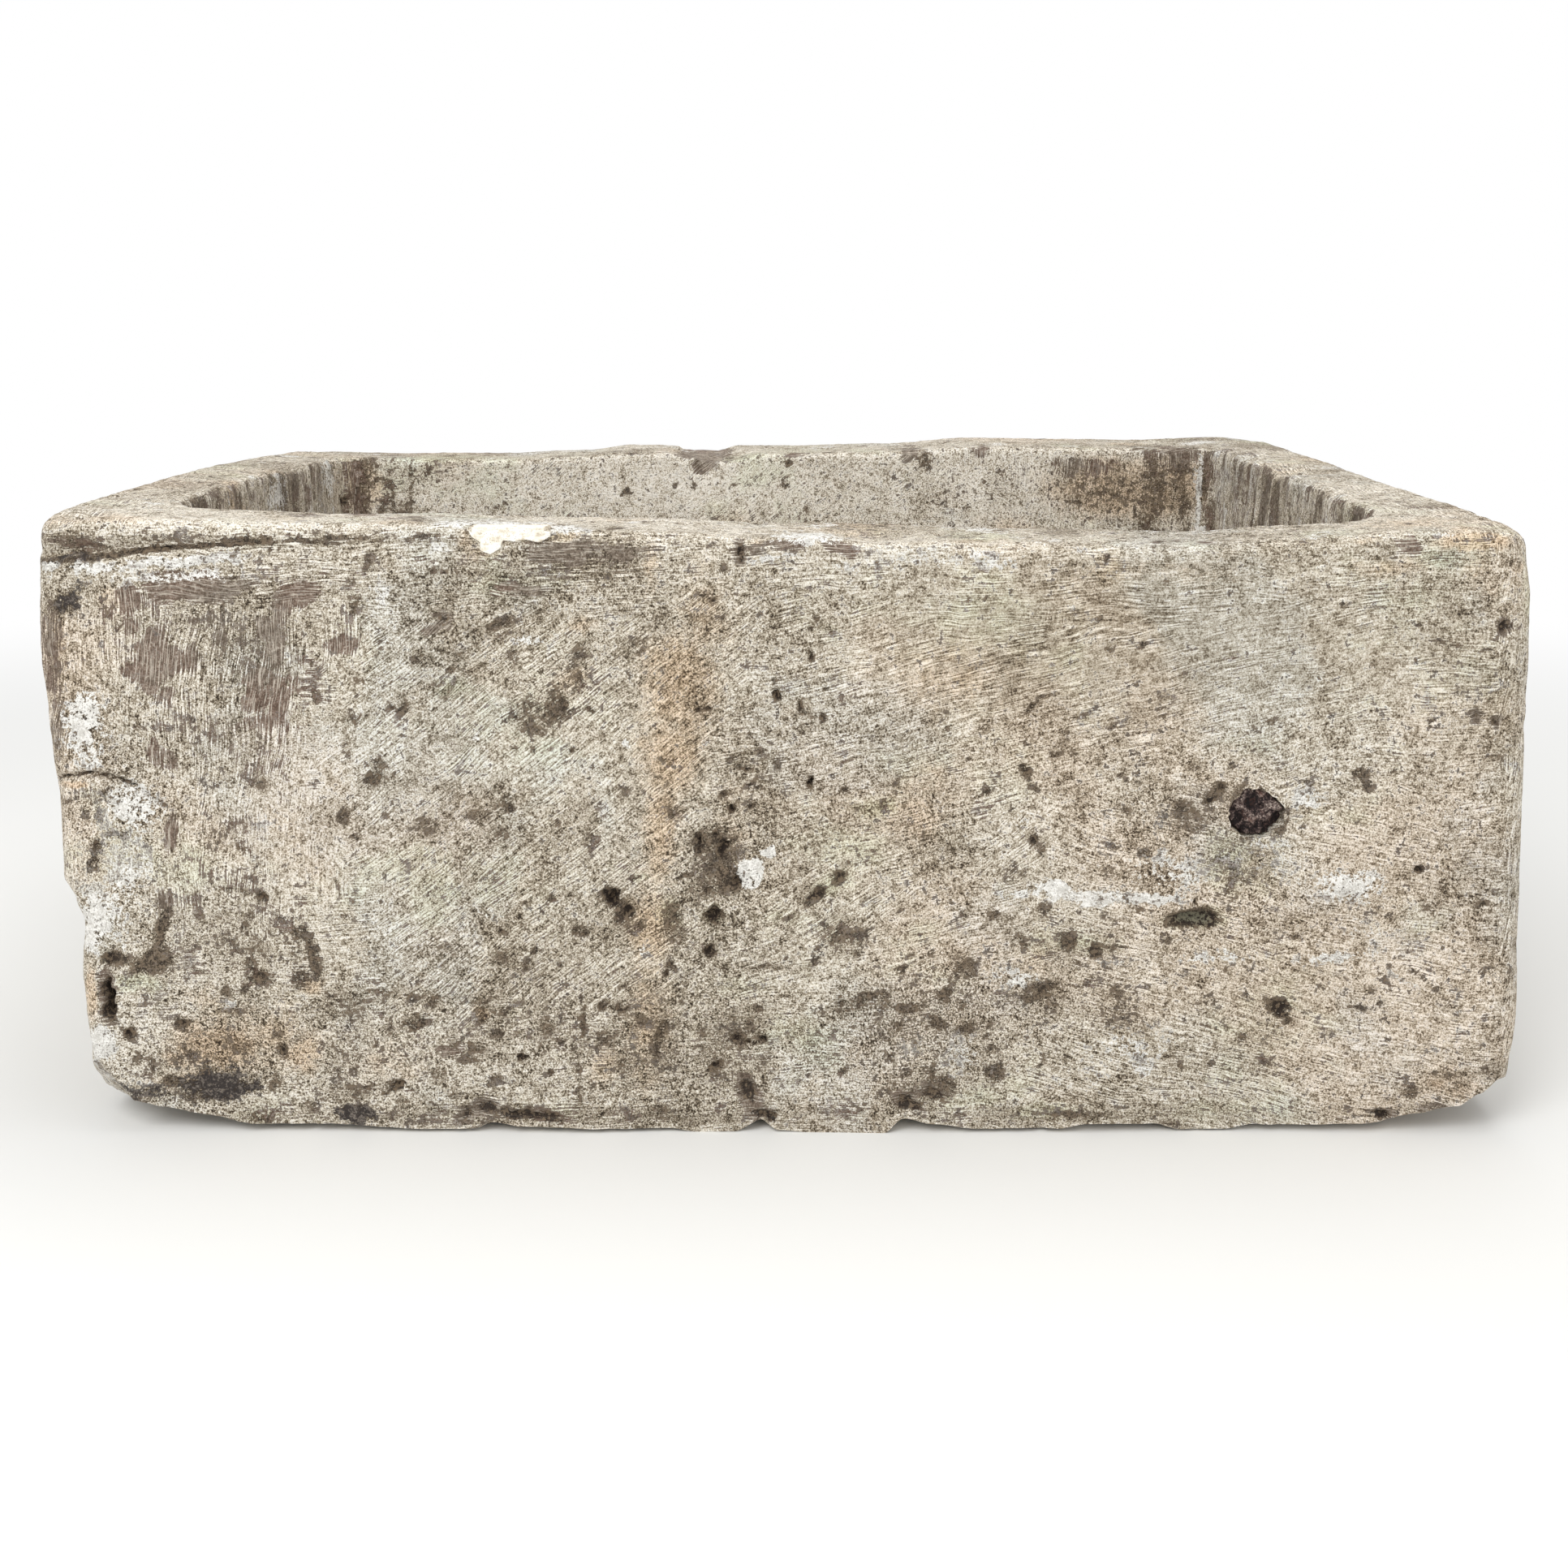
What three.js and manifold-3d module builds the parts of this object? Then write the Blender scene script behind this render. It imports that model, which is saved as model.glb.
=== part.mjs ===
// Stone trough planter: one hand-cut block with a planting hollow, an old side outlet that is
// stopped with dark fill, and a lime filler patch on the front rim. Millimetres, +Z up, the
// front faces -Y, and the origin is on the ground under the middle of the block.
import * as THREE from 'three';
import { mergeVertices } from 'three/addons/utils/BufferGeometryUtils.js';
import Module from 'manifold-3d';

const wasm = await Module();
wasm.setup();

// Block
const troughLength = 975;
const troughDepth = 610;
const troughHeight = 406;
const outerCornerRadius = 22;
const rimOuterRound = 9;
const baseRound = 4;
const undersideInset = 16;

// Hollow
const frontWall = 72;
const backWall = 88;
const leftWall = 68;
const rightWall = 78;
const floorThickness = 120;
const innerCornerRadius = 34;
const rimInnerRound = 7;
const wallDraft = 14;
const floorRound = 30;

// Drain hole through the floor
const drainDiameter = 32;
const drainFromMiddle = 0;

// Old outlet in the front wall and its fill
const outletDiameter = 31;
const outletFromMiddle = 304;
const outletHeight = 217;
const plugRecess = 3.5;
const plugShortOfHollow = 10;
const plugCrown = 2.4;
const fitGap = 0.3;

// Lime filler on the front rim
const fillerFromMiddle = -177;
const fillerLength = 52;
const fillerSeatDepth = 15;
const fillerDrop = 8.5;
const fillerLobeWidth = 13;
const fillerLobeDrop = 8;
const fillerProud = 0.9;
const fillerEdgeRound = 1.2;

// Lip band below the front rim, cut off by a groove that fades out
const lipDropAtCorner = 22;
const lipDropAtFade = 15;
const lipHalfHeight = 3.5;
const lipGrooveDepth = 4;

// Hand-cut irregularity
const rimSag = 15;
const rimRise = 13;
const leftRimSwell = 8;
const leftRimSwellReach = 400;
const cornerDrop = 3;
const cornerDropReach = 46;
const leftWear = 24;
const rightWear = 10;
const wallWave = 2.2;
const waveSpan = 310;
const baseChip = 9;
const breakLength = 162;
const breakDepth = 150;
const breakHeight = 88;
const rimChipDepth = 7;
const rimChipReach = 42;
const pitWidth = 34;
const pitDepth = 6;

// One overrun serves all cuts
const cutOverrun = 12;

// Counts
const frontSteps = 42;
const backSteps = 28;
const sideSteps = 18;
const cornerSteps = 5;
const wallRows = 9;
const hollowRows = 6;
const roundRows = 3;
const filletRows = 4;
const boreSides = 28;
const plugRings = 4;
const pitSides = 9;
const pitRings = 6;
const endWearPower = 3;

// Each pair is a place along the length, from -1 at the left end to 1 at the right end, and
// how far the front rim lies below its nominal height there, as a share of rimSag.
const frontRimShares = [
  [-1, -0.25], [-0.86, -0.18], [-0.52, 0], [-0.2, 0.33], [0, 0.56],
  [0.31, 0.85], [0.54, 1], [0.71, 0.62], [0.87, 0.35], [1, 0.2],
];

// The same places for the back rim, which climbs to the right, as shares of rimRise.
const backRimShares = [
  [-1, -0.15], [-0.83, -0.3], [-0.56, -0.22], [-0.4, 0.02], [-0.31, 0.4], [0, 0.35],
  [0.2, 0.55], [0.38, 1], [0.71, 0.8], [0.9, 1], [1, 0.85],
];

// Each pair is a height as a share of troughHeight and how far the face has worn in there.
const leftWearShares = [
  [0.03, 1.1], [0.13, 1], [0.2, 0.82], [0.27, 0.74], [0.345, 0.84], [0.385, 0.64], [0.42, 0.34],
  [0.55, 0.32], [0.62, 0.2], [0.7, 0.1], [0.78, 0], [0.86, 0.02], [0.94, 0.1], [1, 0.2],
];
const rightWearShares = [
  [0.03, 0.7], [0.09, 0.4], [0.16, 0.08], [0.3, 0], [0.5, 0.12], [0.75, 0.3],
  [0.88, 0.6], [0.95, 0.9], [1, 1.1],
];

// How far the bottom edge of the front is chipped upward, as a share of baseChip.
const frontBaseShares = [
  [-1, 0.9], [-0.64, 0.65], [-0.5, 0.3], [-0.43, 0.32], [-0.405, 0.8], [-0.36, 0.5],
  [-0.24, 0.35], [-0.16, 0.3], [-0.12, 0], [-0.07, 0.05], [-0.035, 1], [-0.01, 0.2], [0.03, 0],
  [0.13, 0], [0.16, 1.15], [0.2, 0.75], [0.26, 0.35], [0.37, 0.35], [0.41, 0.75],
  [0.5, 0.7], [0.54, 0.2], [0.6, 0.2], [0.64, 0.6],
  [0.8, 0.6], [0.86, 1.3], [0.92, 1.9], [0.95, 2.8], [0.975, 4], [1, 4.6],
];

// The same round the back and the ends, as shares of baseChip at shares of the way round.
const otherBaseShares = [
  [0, 1.1], [0.06, 0.4], [0.13, 0.1], [0.19, 0.6], [0.25, 0.2], [0.33, 0.9], [0.38, 0.3],
  [0.47, 0], [0.55, 0.5], [0.6, 0.2], [0.68, 0.7], [0.75, 0.1], [0.84, 0.3], [0.92, 0.6], [1, 0.8],
];

// Start and end of the groove's fade, as shares of half the length from the left corner.
const lipFadeShares = { start: 0.12, end: 0.52, level: 0.5 };

// Wear of the left face at its back edge, as a share of the wear at its front edge.
const backWearShare = 0.45;

// Start of the swell of the left rim, as a share of half the length from the middle.
const swellStartShare = 0.6;

// Tightest corner of an inset plan, as a share of the corner's full radius.
const tightCornerShare = 0.4;

// The lower left corner is broken away along two faces. Each cuts the three edges that meet
// there at a share of the length, depth and height of the break.
const breakShares = [
  { along: 0.47, across: 0.45, up: 1 },
  { along: 1, across: 1, up: 0.4 },
];

// Places where the rim is chipped or dished, as shares of half the length and half the depth,
// with a share of rimChipDepth and a share of rimChipReach.
const rimChipShares = [
  { along: 0.87, across: 0.1, depth: 0.9, reach: 1 },
  { along: 0.84, across: 0.42, depth: 0.55, reach: 0.8 },
  { along: -0.11, across: 0.74, depth: 1, reach: 0.9 },
  { along: -0.86, across: 0.2, depth: 0.7, reach: 1 },
  { along: -0.95, across: -0.93, depth: 0.6, reach: 0.6 },
  { along: 0.12, across: -0.95, depth: 0.45, reach: 1 },
];

// The large pits of the front face and one oblong pocket: places as shares of half the length
// and of the height, sizes as shares of pitWidth and pitDepth.
const pitShares = [
  { along: 0.549, up: 0.357, width: 1.05, height: 0.38, depth: 0.9 },
  { along: -0.226, up: 0.39, width: 0.38, height: 0.42, depth: 1.3 },
  { along: -0.107, up: 0.495, width: 0.42, height: 0.7, depth: 0.9 },
  { along: -0.081, up: 0.475, width: 0.3, height: 0.5, depth: 0.8 },
  { along: -0.097, up: 0.36, width: 0.52, height: 0.6, depth: 1 },
  { along: -0.1, up: 0.304, width: 0.34, height: 0.4, depth: 0.7 },
  { along: -0.006, up: 0.735, width: 0.28, height: 0.8, depth: 0.7 },
  { along: 0.035, up: 0.582, width: 0.24, height: 0.34, depth: 0.8 },
  { along: 0.664, up: 0.212, width: 0.9, height: 0.6, depth: 0.6 },
];

// Hand-cut wave of the faces: turns along each axis for each span, start of turn, and weight.
const waveShares = [
  { along: 1, across: 0.8, up: 0.6, start: 0.1, weight: 0.5 },
  { along: -1.7, across: 1.4, up: 1.3, start: 0.35, weight: 0.3 },
  { along: 2.6, across: -2.2, up: -1.9, start: 0.8, weight: 0.2 },
];

// Outline of the filler as seen from the front: shares of its length and of its drop.
const fillerOutlineShares = [
  [-0.5, -0.1], [-0.46, -0.62], [-0.36, -1], [-0.08, -0.86], [0.06, -0.95],
  [0.22, -0.8], [0.36, -1], [0.5, -0.55], [0.48, -0.05],
];

// Lobe of the filler: shares of its width and of its drop below the patch, left to right.
const fillerLobeShares = [[0, 0.7], [0.5, 1], [1, 0.5]];

// Ends of the filler's top edge as shares of its length.
const fillerTopShares = { left: -0.48, right: 0.46 };

const halfLength = troughLength / 2;
const halfDepth = troughDepth / 2;
const quarterTurn = Math.PI / 2;

// Value of a curve through hand-chosen points, level beyond its two ends.
function curveAt(points, place) {
  const last = points.length - 1;
  if (place <= points[0][0]) return points[0][1];
  if (place >= points[last][0]) return points[last][1];
  const next = points.findIndex(([start]) => start > place);
  const [start, low] = points[next - 1];
  const [end, high] = points[next];
  const ease = THREE.MathUtils.smoothstep(place, start, end);
  return THREE.MathUtils.lerp(low, high, ease);
}

// A smooth mound of unit height that has died away at one reach from its middle.
function mound(distance, reach) {
  return 1 - THREE.MathUtils.smoothstep(Math.abs(distance), 0, reach);
}

// Slow hand-cut wave at any place on the block.
function waveAt(x, y, z) {
  const turns = ({ along, across, up, start }) => (
    start + (along * x + across * y + up * z) / waveSpan
  );
  const sum = waveShares.reduce(
    (total, wave) => total + wave.weight * Math.sin(2 * Math.PI * turns(wave)), 0,
  );
  return wallWave * sum;
}

// Height of the rim above the ground at any place in plan.
function rimHeightAt(x, y) {
  const along = x / halfLength;
  const back = THREE.MathUtils.clamp((y + halfDepth) / troughDepth, 0, 1);
  const frontLine = -rimSag * curveAt(frontRimShares, along);
  const backLine = rimRise * curveAt(backRimShares, along);
  const onLeft = THREE.MathUtils.smoothstep(-along, swellStartShare, 1);
  const swell = leftRimSwell * mound(y, leftRimSwellReach) * onLeft;
  const toCorner = Math.hypot(halfLength - Math.abs(x), halfDepth - Math.abs(y));
  const chips = rimChipShares.reduce((total, chip) => {
    const away = Math.hypot(x - chip.along * halfLength, y - chip.across * halfDepth);
    return total + rimChipDepth * chip.depth * mound(away, rimChipReach * chip.reach);
  }, 0);
  return troughHeight + THREE.MathUtils.lerp(frontLine, backLine, back) + swell
    - cornerDrop * mound(toCorner, cornerDropReach) - chips;
}

// How far the bottom edge is chipped upward at a place on the outline.
function baseLiftAt(x, y) {
  const onFront = THREE.MathUtils.smoothstep(-y, halfDepth - outerCornerRadius, halfDepth);
  const roundShare = (Math.atan2(y * troughLength, -x * troughDepth) + Math.PI) / (2 * Math.PI);
  const frontChips = curveAt(frontBaseShares, x / halfLength);
  const otherChips = curveAt(otherBaseShares, roundShare);
  return baseChip * THREE.MathUtils.lerp(otherChips, frontChips, onFront);
}

// How far a place near either end moves along the length because that end has worn in.
function endWearAt(x, y, z) {
  const height = z / troughHeight;
  const toBack = THREE.MathUtils.smoothstep(y, -halfDepth, halfDepth);
  const fade = THREE.MathUtils.lerp(1, backWearShare, toBack);
  const left = leftWear * fade * curveAt(leftWearShares, height);
  const right = rightWear * curveAt(rightWearShares, height);
  const nearEnd = (Math.abs(x) / halfLength) ** endWearPower;
  return nearEnd * (x < 0 ? left : -right);
}

// The steps of one ring: each lies between two corner centres, and looks along one angle.
function ringSteps() {
  const counts = [frontSteps, sideSteps, backSteps, sideSteps];
  return counts.flatMap((count, side) => {
    const angle = (side - 1) * quarterTurn;
    const next = (side + 1) % counts.length;
    const straight = Array.from({ length: count }, (_, step) => (
      { from: side, to: next, share: step / count, angle }
    ));
    const corner = Array.from({ length: cornerSteps }, (_, step) => (
      { from: next, to: next, share: 0, angle: angle + (step / cornerSteps) * quarterTurn }
    ));
    return [...straight, ...corner];
  });
}

const steps = ringSteps();

// The rectangle of the outside at an inset, with its corner radius.
function outerPlan(inset) {
  return {
    left: inset - halfLength,
    right: halfLength - inset,
    front: inset - halfDepth,
    back: halfDepth - inset,
    radius: Math.max(outerCornerRadius - inset, outerCornerRadius * tightCornerShare),
  };
}

// The rectangle of the hollow, narrowed or widened by an inset.
function hollowPlan(inset) {
  return {
    left: leftWall + inset - halfLength,
    right: halfLength - rightWall - inset,
    front: frontWall + inset - halfDepth,
    back: halfDepth - backWall - inset,
    radius: Math.max(innerCornerRadius - inset, innerCornerRadius * tightCornerShare),
  };
}

// A rectangle part of the way from one plan to another.
function planBetween(first, second, share) {
  const sides = Object.keys(first).map((side) => (
    [side, THREE.MathUtils.lerp(first[side], second[side], share)]
  ));
  return Object.fromEntries(sides);
}

// Plan place and outward normal of one step on one rectangle.
function placeOn(plan, step) {
  const { left, right, front, back, radius } = plan;
  const centres = [
    new THREE.Vector2(left + radius, front + radius),
    new THREE.Vector2(right - radius, front + radius),
    new THREE.Vector2(right - radius, back - radius),
    new THREE.Vector2(left + radius, back - radius),
  ];
  const normal = new THREE.Vector2(Math.cos(step.angle), Math.sin(step.angle));
  const place = centres[step.from].clone().lerp(centres[step.to], step.share);
  return { place: place.addScaledVector(normal, radius), normal };
}

// One ring at an inset plan: each step has its height, is moved inward by the wave or a groove,
// and near the ends takes a share of the end wear.
function ringOf(plan, heightAt, inwardAt, endShare) {
  return steps.map((step) => {
    const { place, normal } = placeOn(plan, step);
    const z = heightAt(place.x, place.y, normal);
    const inward = inwardAt(place.x, place.y, z, normal);
    const endWear = endShare * endWearAt(place.x, place.y, z);
    return new THREE.Vector3(
      place.x - normal.x * inward + endWear,
      place.y - normal.y * inward,
      z,
    );
  });
}

// A closed surface over a stack of rings, with one point closing each end.
function loftRings(rings, firstPoint, lastPoint) {
  const around = steps.length;
  const points = [firstPoint, ...rings.flat(), lastPoint];
  const positions = new Float32Array(points.flatMap((point) => point.toArray()));
  const ringStart = (ring) => 1 + ring * around;
  const triangles = [];
  for (let step = 0; step < around; step += 1) {
    const next = (step + 1) % around;
    triangles.push(0, ringStart(0) + next, ringStart(0) + step);
    for (let ring = 0; ring + 1 < rings.length; ring += 1) {
      const low = ringStart(ring);
      const high = ringStart(ring + 1);
      triangles.push(low + step, low + next, high + next);
      triangles.push(low + step, high + next, high + step);
    }
    const top = ringStart(rings.length - 1);
    triangles.push(points.length - 1, top + step, top + next);
  }
  const geometry = new THREE.BufferGeometry();
  geometry.setAttribute('position', new THREE.BufferAttribute(positions, 3));
  geometry.setIndex(triangles);
  return geometry;
}

// How far below the rim the lip groove runs, and how strong it is, along the front.
function lipAt(x, normal) {
  const fromCorner = (x + halfLength) / halfLength;
  const run = THREE.MathUtils.clamp(fromCorner / lipFadeShares.level, 0, 1);
  const onFront = Math.max(0, -normal.y);
  const fade = 1 - THREE.MathUtils.smoothstep(fromCorner, lipFadeShares.start, lipFadeShares.end);
  return { drop: THREE.MathUtils.lerp(lipDropAtCorner, lipDropAtFade, run), cut: fade * onFront };
}

// Rings of the underside and the outside wall, from the ground up to the rim.
function outsideRings() {
  const bottomAt = (x, y) => baseRound + baseLiftAt(x, y);
  const lipBottomAt = (x, y, normal) => rimHeightAt(x, y) - lipAt(x, normal).drop - lipHalfHeight;
  const rings = [
    ringOf(outerPlan(undersideInset), () => 0, waveAt, 1),
    ringOf(outerPlan(undersideInset / 3), (x, y) => bottomAt(x, y) / 4, waveAt, 1),
  ];
  for (let row = 0; row <= wallRows; row += 1) {
    const heightAt = (x, y, normal) => (
      THREE.MathUtils.lerp(bottomAt(x, y), lipBottomAt(x, y, normal), row / wallRows)
    );
    rings.push(ringOf(outerPlan(0), heightAt, waveAt, 1));
  }
  const grooveDepthAt = (x, y, z, normal) => (
    waveAt(x, y, z) + lipGrooveDepth * lipAt(x, normal).cut
  );
  const grooveHeight = (x, y, normal) => rimHeightAt(x, y) - lipAt(x, normal).drop;
  rings.push(ringOf(outerPlan(0), grooveHeight, grooveDepthAt, 1));
  for (let row = 0; row <= roundRows; row += 1) {
    const turn = (row / roundRows) * quarterTurn;
    const inset = rimOuterRound * (1 - Math.cos(turn));
    const heightAt = (x, y) => rimHeightAt(x, y) - rimOuterRound * (1 - Math.sin(turn));
    rings.push(ringOf(outerPlan(inset), heightAt, waveAt, 1));
  }
  return rings;
}

// Rings of the rim top, the inside walls and the floor of the hollow.
function insideRings() {
  const halfWay = planBetween(outerPlan(rimOuterRound), hollowPlan(-rimInnerRound), 1 / 2);
  const hollowWave = (x, y, z) => -waveAt(x, y, z);
  const filletTop = floorThickness + floorRound;
  const rings = [ringOf(halfWay, rimHeightAt, () => 0, 1 / 2)];
  for (let row = 0; row <= roundRows; row += 1) {
    const turn = (row / roundRows) * quarterTurn;
    const heightAt = (x, y) => rimHeightAt(x, y) - rimInnerRound * (1 - Math.cos(turn));
    rings.push(ringOf(hollowPlan(rimInnerRound * (Math.sin(turn) - 1)), heightAt, hollowWave, 0));
  }
  for (let row = 1; row <= hollowRows; row += 1) {
    const down = row / hollowRows;
    const heightAt = (x, y) => (
      THREE.MathUtils.lerp(rimHeightAt(x, y) - rimInnerRound, filletTop, down)
    );
    rings.push(ringOf(hollowPlan(wallDraft * down), heightAt, hollowWave, 0));
  }
  for (let row = 1; row <= filletRows; row += 1) {
    const turn = (row / filletRows) * quarterTurn;
    const inset = wallDraft + floorRound * (1 - Math.cos(turn));
    const height = filletTop - floorRound * Math.sin(turn);
    const fade = 1 - row / filletRows;
    const fadedWave = (x, y, z) => fade * hollowWave(x, y, z);
    rings.push(ringOf(hollowPlan(inset), () => height, fadedWave, 0));
  }
  return rings;
}

// A closed mesh as a solid that can be joined and cut.
function solidOf(geometry) {
  const bare = geometry.clone();
  bare.deleteAttribute('normal');
  bare.deleteAttribute('uv');
  const merged = mergeVertices(bare);
  const mesh = new wasm.Mesh({
    numProp: 3,
    vertProperties: new Float32Array(merged.attributes.position.array),
    triVerts: new Uint32Array(merged.index.array),
  });
  return new wasm.Manifold(mesh);
}

function geometryOf(solid) {
  const mesh = solid.getMesh();
  const geometry = new THREE.BufferGeometry();
  geometry.setAttribute('position', new THREE.BufferAttribute(mesh.vertProperties, 3));
  geometry.setIndex(new THREE.BufferAttribute(mesh.triVerts, 1));
  geometry.computeVertexNormals();
  return geometry;
}

// Place of the front face at a height, with the wave that the face has there.
function frontFaceAt(x, z) {
  return waveAt(x, -halfDepth, z) - halfDepth;
}

// The bore of the old outlet, right through the front wall.
function outletBore() {
  const length = frontWall + wallDraft + 2 * cutOverrun;
  const bore = new THREE.CylinderGeometry(outletDiameter / 2, outletDiameter / 2, length, boreSides);
  bore.translate(outletFromMiddle, length / 2 - cutOverrun - halfDepth, outletHeight);
  return bore;
}

// The hole that drains the hollow through the floor.
function drainBore() {
  const length = floorThickness + 2 * cutOverrun;
  const bore = new THREE.CylinderGeometry(drainDiameter / 2, drainDiameter / 2, length, boreSides);
  bore.rotateX(quarterTurn);
  bore.translate(drainFromMiddle, 0, length / 2 - cutOverrun);
  return bore;
}

// A block whose inner face lies on one broken face of the lower left corner.
function breakBlock({ along, across, up }) {
  const onFront = new THREE.Vector3(along * breakLength, 0, 0);
  const onSide = new THREE.Vector3(0, across * breakDepth, 0);
  const onEdge = new THREE.Vector3(0, 0, up * breakHeight);
  const face = new THREE.Plane().setFromCoplanarPoints(onFront, onSide, onEdge);
  const size = 2 * (breakLength + breakDepth + breakHeight);
  const block = new THREE.BoxGeometry(size, size, size);
  const upward = new THREE.Vector3(0, 0, 1);
  block.applyQuaternion(new THREE.Quaternion().setFromUnitVectors(upward, face.normal));
  const middle = face.coplanarPoint(new THREE.Vector3()).addScaledVector(face.normal, -size / 2);
  block.translate(middle.x - halfLength, middle.y - halfDepth, middle.z);
  return block;
}

// A rounded hollow pressed into the front face.
function pitBlock({ along, up, width, height, depth }) {
  const x = along * halfLength;
  const z = up * troughHeight;
  const pit = new THREE.SphereGeometry(1 / 2, pitSides, pitRings);
  pit.scale(width * pitWidth, 2 * depth * pitDepth, height * pitWidth);
  pit.translate(x, frontFaceAt(x, z), z);
  return pit;
}

// Outline of the filler patch in the front view, from its own middle, up to a given top.
function fillerOutline(top) {
  const lower = fillerOutlineShares.map(([along, down]) => (
    new THREE.Vector2(along * fillerLength, down * fillerDrop)
  ));
  const lobeLeft = lower[2].x;
  const lobe = fillerLobeShares.map(([across, down]) => (
    new THREE.Vector2(lobeLeft + across * fillerLobeWidth, -fillerDrop - down * fillerLobeDrop)
  ));
  const upper = [
    new THREE.Vector2(fillerTopShares.right * fillerLength, top),
    new THREE.Vector2(fillerTopShares.left * fillerLength, top),
  ];
  return [...lower.slice(0, 3), ...lobe, ...lower.slice(3), ...upper];
}

// The same outline moved outward all round by a clearance.
function grownOutline(points, grow) {
  return points.map((point, index) => {
    const before = points[(index + points.length - 1) % points.length];
    const after = points[(index + 1) % points.length];
    const arriving = point.clone().sub(before).normalize();
    const leaving = after.clone().sub(point).normalize();
    const outward = new THREE.Vector2(arriving.y + leaving.y, -arriving.x - leaving.x).normalize();
    const square = outward.x * arriving.y - outward.y * arriving.x;
    return point.clone().addScaledVector(outward, grow / square);
  });
}

// The patch as a block from a front plane inward, standing on its outline.
function fillerBlock(outline, frontY, depth, edgeRound) {
  const options = { depth: depth - 2 * edgeRound, curveSegments: 1, bevelEnabled: edgeRound > 0 };
  const bevel = { bevelThickness: edgeRound, bevelSize: edgeRound, bevelOffset: -edgeRound };
  const shape = new THREE.Shape(outline);
  const block = new THREE.ExtrudeGeometry(shape, { ...options, ...bevel, bevelSegments: 1 });
  block.rotateX(quarterTurn);
  block.translate(fillerFromMiddle, frontY + depth - edgeRound, fillerRimHeight());
  return block;
}

// Rim height that the filler patch is seated against.
function fillerRimHeight() {
  return rimHeightAt(fillerFromMiddle, -halfDepth + fillerSeatDepth / 2);
}

function troughGeometry() {
  const ground = new THREE.Vector3(0, 0, 0);
  const floorMiddle = new THREE.Vector3(0, 0, floorThickness);
  const block = solidOf(loftRings([...outsideRings(), ...insideRings()], ground, floorMiddle));
  const faceY = frontFaceAt(fillerFromMiddle, fillerRimHeight());
  const pocket = fillerBlock(
    grownOutline(fillerOutline(fillerProud + cutOverrun), fitGap),
    faceY - cutOverrun,
    cutOverrun + fillerSeatDepth + fitGap,
    0,
  );
  const cuts = [
    outletBore(), drainBore(), pocket, ...breakShares.map(breakBlock), ...pitShares.map(pitBlock),
  ];
  return geometryOf(cuts.reduce((rest, cut) => rest.subtract(solidOf(cut)), block));
}

// The dark fill: a round plug with a low crusty crown, set back from the face.
function plugGeometry() {
  const radius = outletDiameter / 2 - fitGap;
  const front = frontFaceAt(outletFromMiddle, outletHeight) + plugRecess;
  const length = frontWall - plugRecess - plugShortOfHollow;
  const crown = Array.from({ length: plugRings }, (_, ring) => {
    const turn = (ring / plugRings) * quarterTurn;
    return new THREE.Vector2(radius * Math.sin(turn), -plugCrown * Math.cos(turn));
  });
  const body = [
    new THREE.Vector2(radius, 0),
    new THREE.Vector2(radius, length - plugCrown),
    new THREE.Vector2(radius - plugCrown, length),
    new THREE.Vector2(0, length),
  ];
  const plug = new THREE.LatheGeometry([...crown, ...body], boreSides);
  plug.translate(outletFromMiddle, front + plugCrown, outletHeight);
  return geometryOf(solidOf(plug));
}

function fillerGeometry() {
  const faceY = frontFaceAt(fillerFromMiddle, fillerRimHeight());
  const depth = fillerProud + fillerSeatDepth;
  const outline = fillerOutline(fillerProud);
  return geometryOf(solidOf(fillerBlock(outline, faceY - fillerProud, depth, fillerEdgeRound)));
}

const limewashedStone = new THREE.MeshStandardMaterial({
  color: 0xb4aa99, roughness: 0.93, metalness: 0, flatShading: true,
});
const darkFill = new THREE.MeshStandardMaterial({
  color: 0x3f3233, roughness: 0.9, metalness: 0, flatShading: true,
});
const limeFiller = new THREE.MeshStandardMaterial({
  color: 0xe9dcc4, roughness: 0.88, metalness: 0, flatShading: true,
});

const trough = new THREE.Mesh(troughGeometry(), limewashedStone);
trough.name = 'trough_body';
const plug = new THREE.Mesh(plugGeometry(), darkFill);
plug.name = 'outlet_plug';
const filler = new THREE.Mesh(fillerGeometry(), limeFiller);
filler.name = 'rim_filler';

// The worn outline isn't symmetrical, so the block is moved to stand over the origin.
const planter = new THREE.Group();
planter.add(trough, plug, filler);
const outline = new THREE.Box3().setFromObject(trough);
const middle = outline.getCenter(new THREE.Vector3());
planter.position.set(-middle.x, -middle.y, 0);

export default planter;
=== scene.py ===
import math
import bmesh
import bpy
import numpy as np
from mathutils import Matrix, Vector, kdtree


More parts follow.
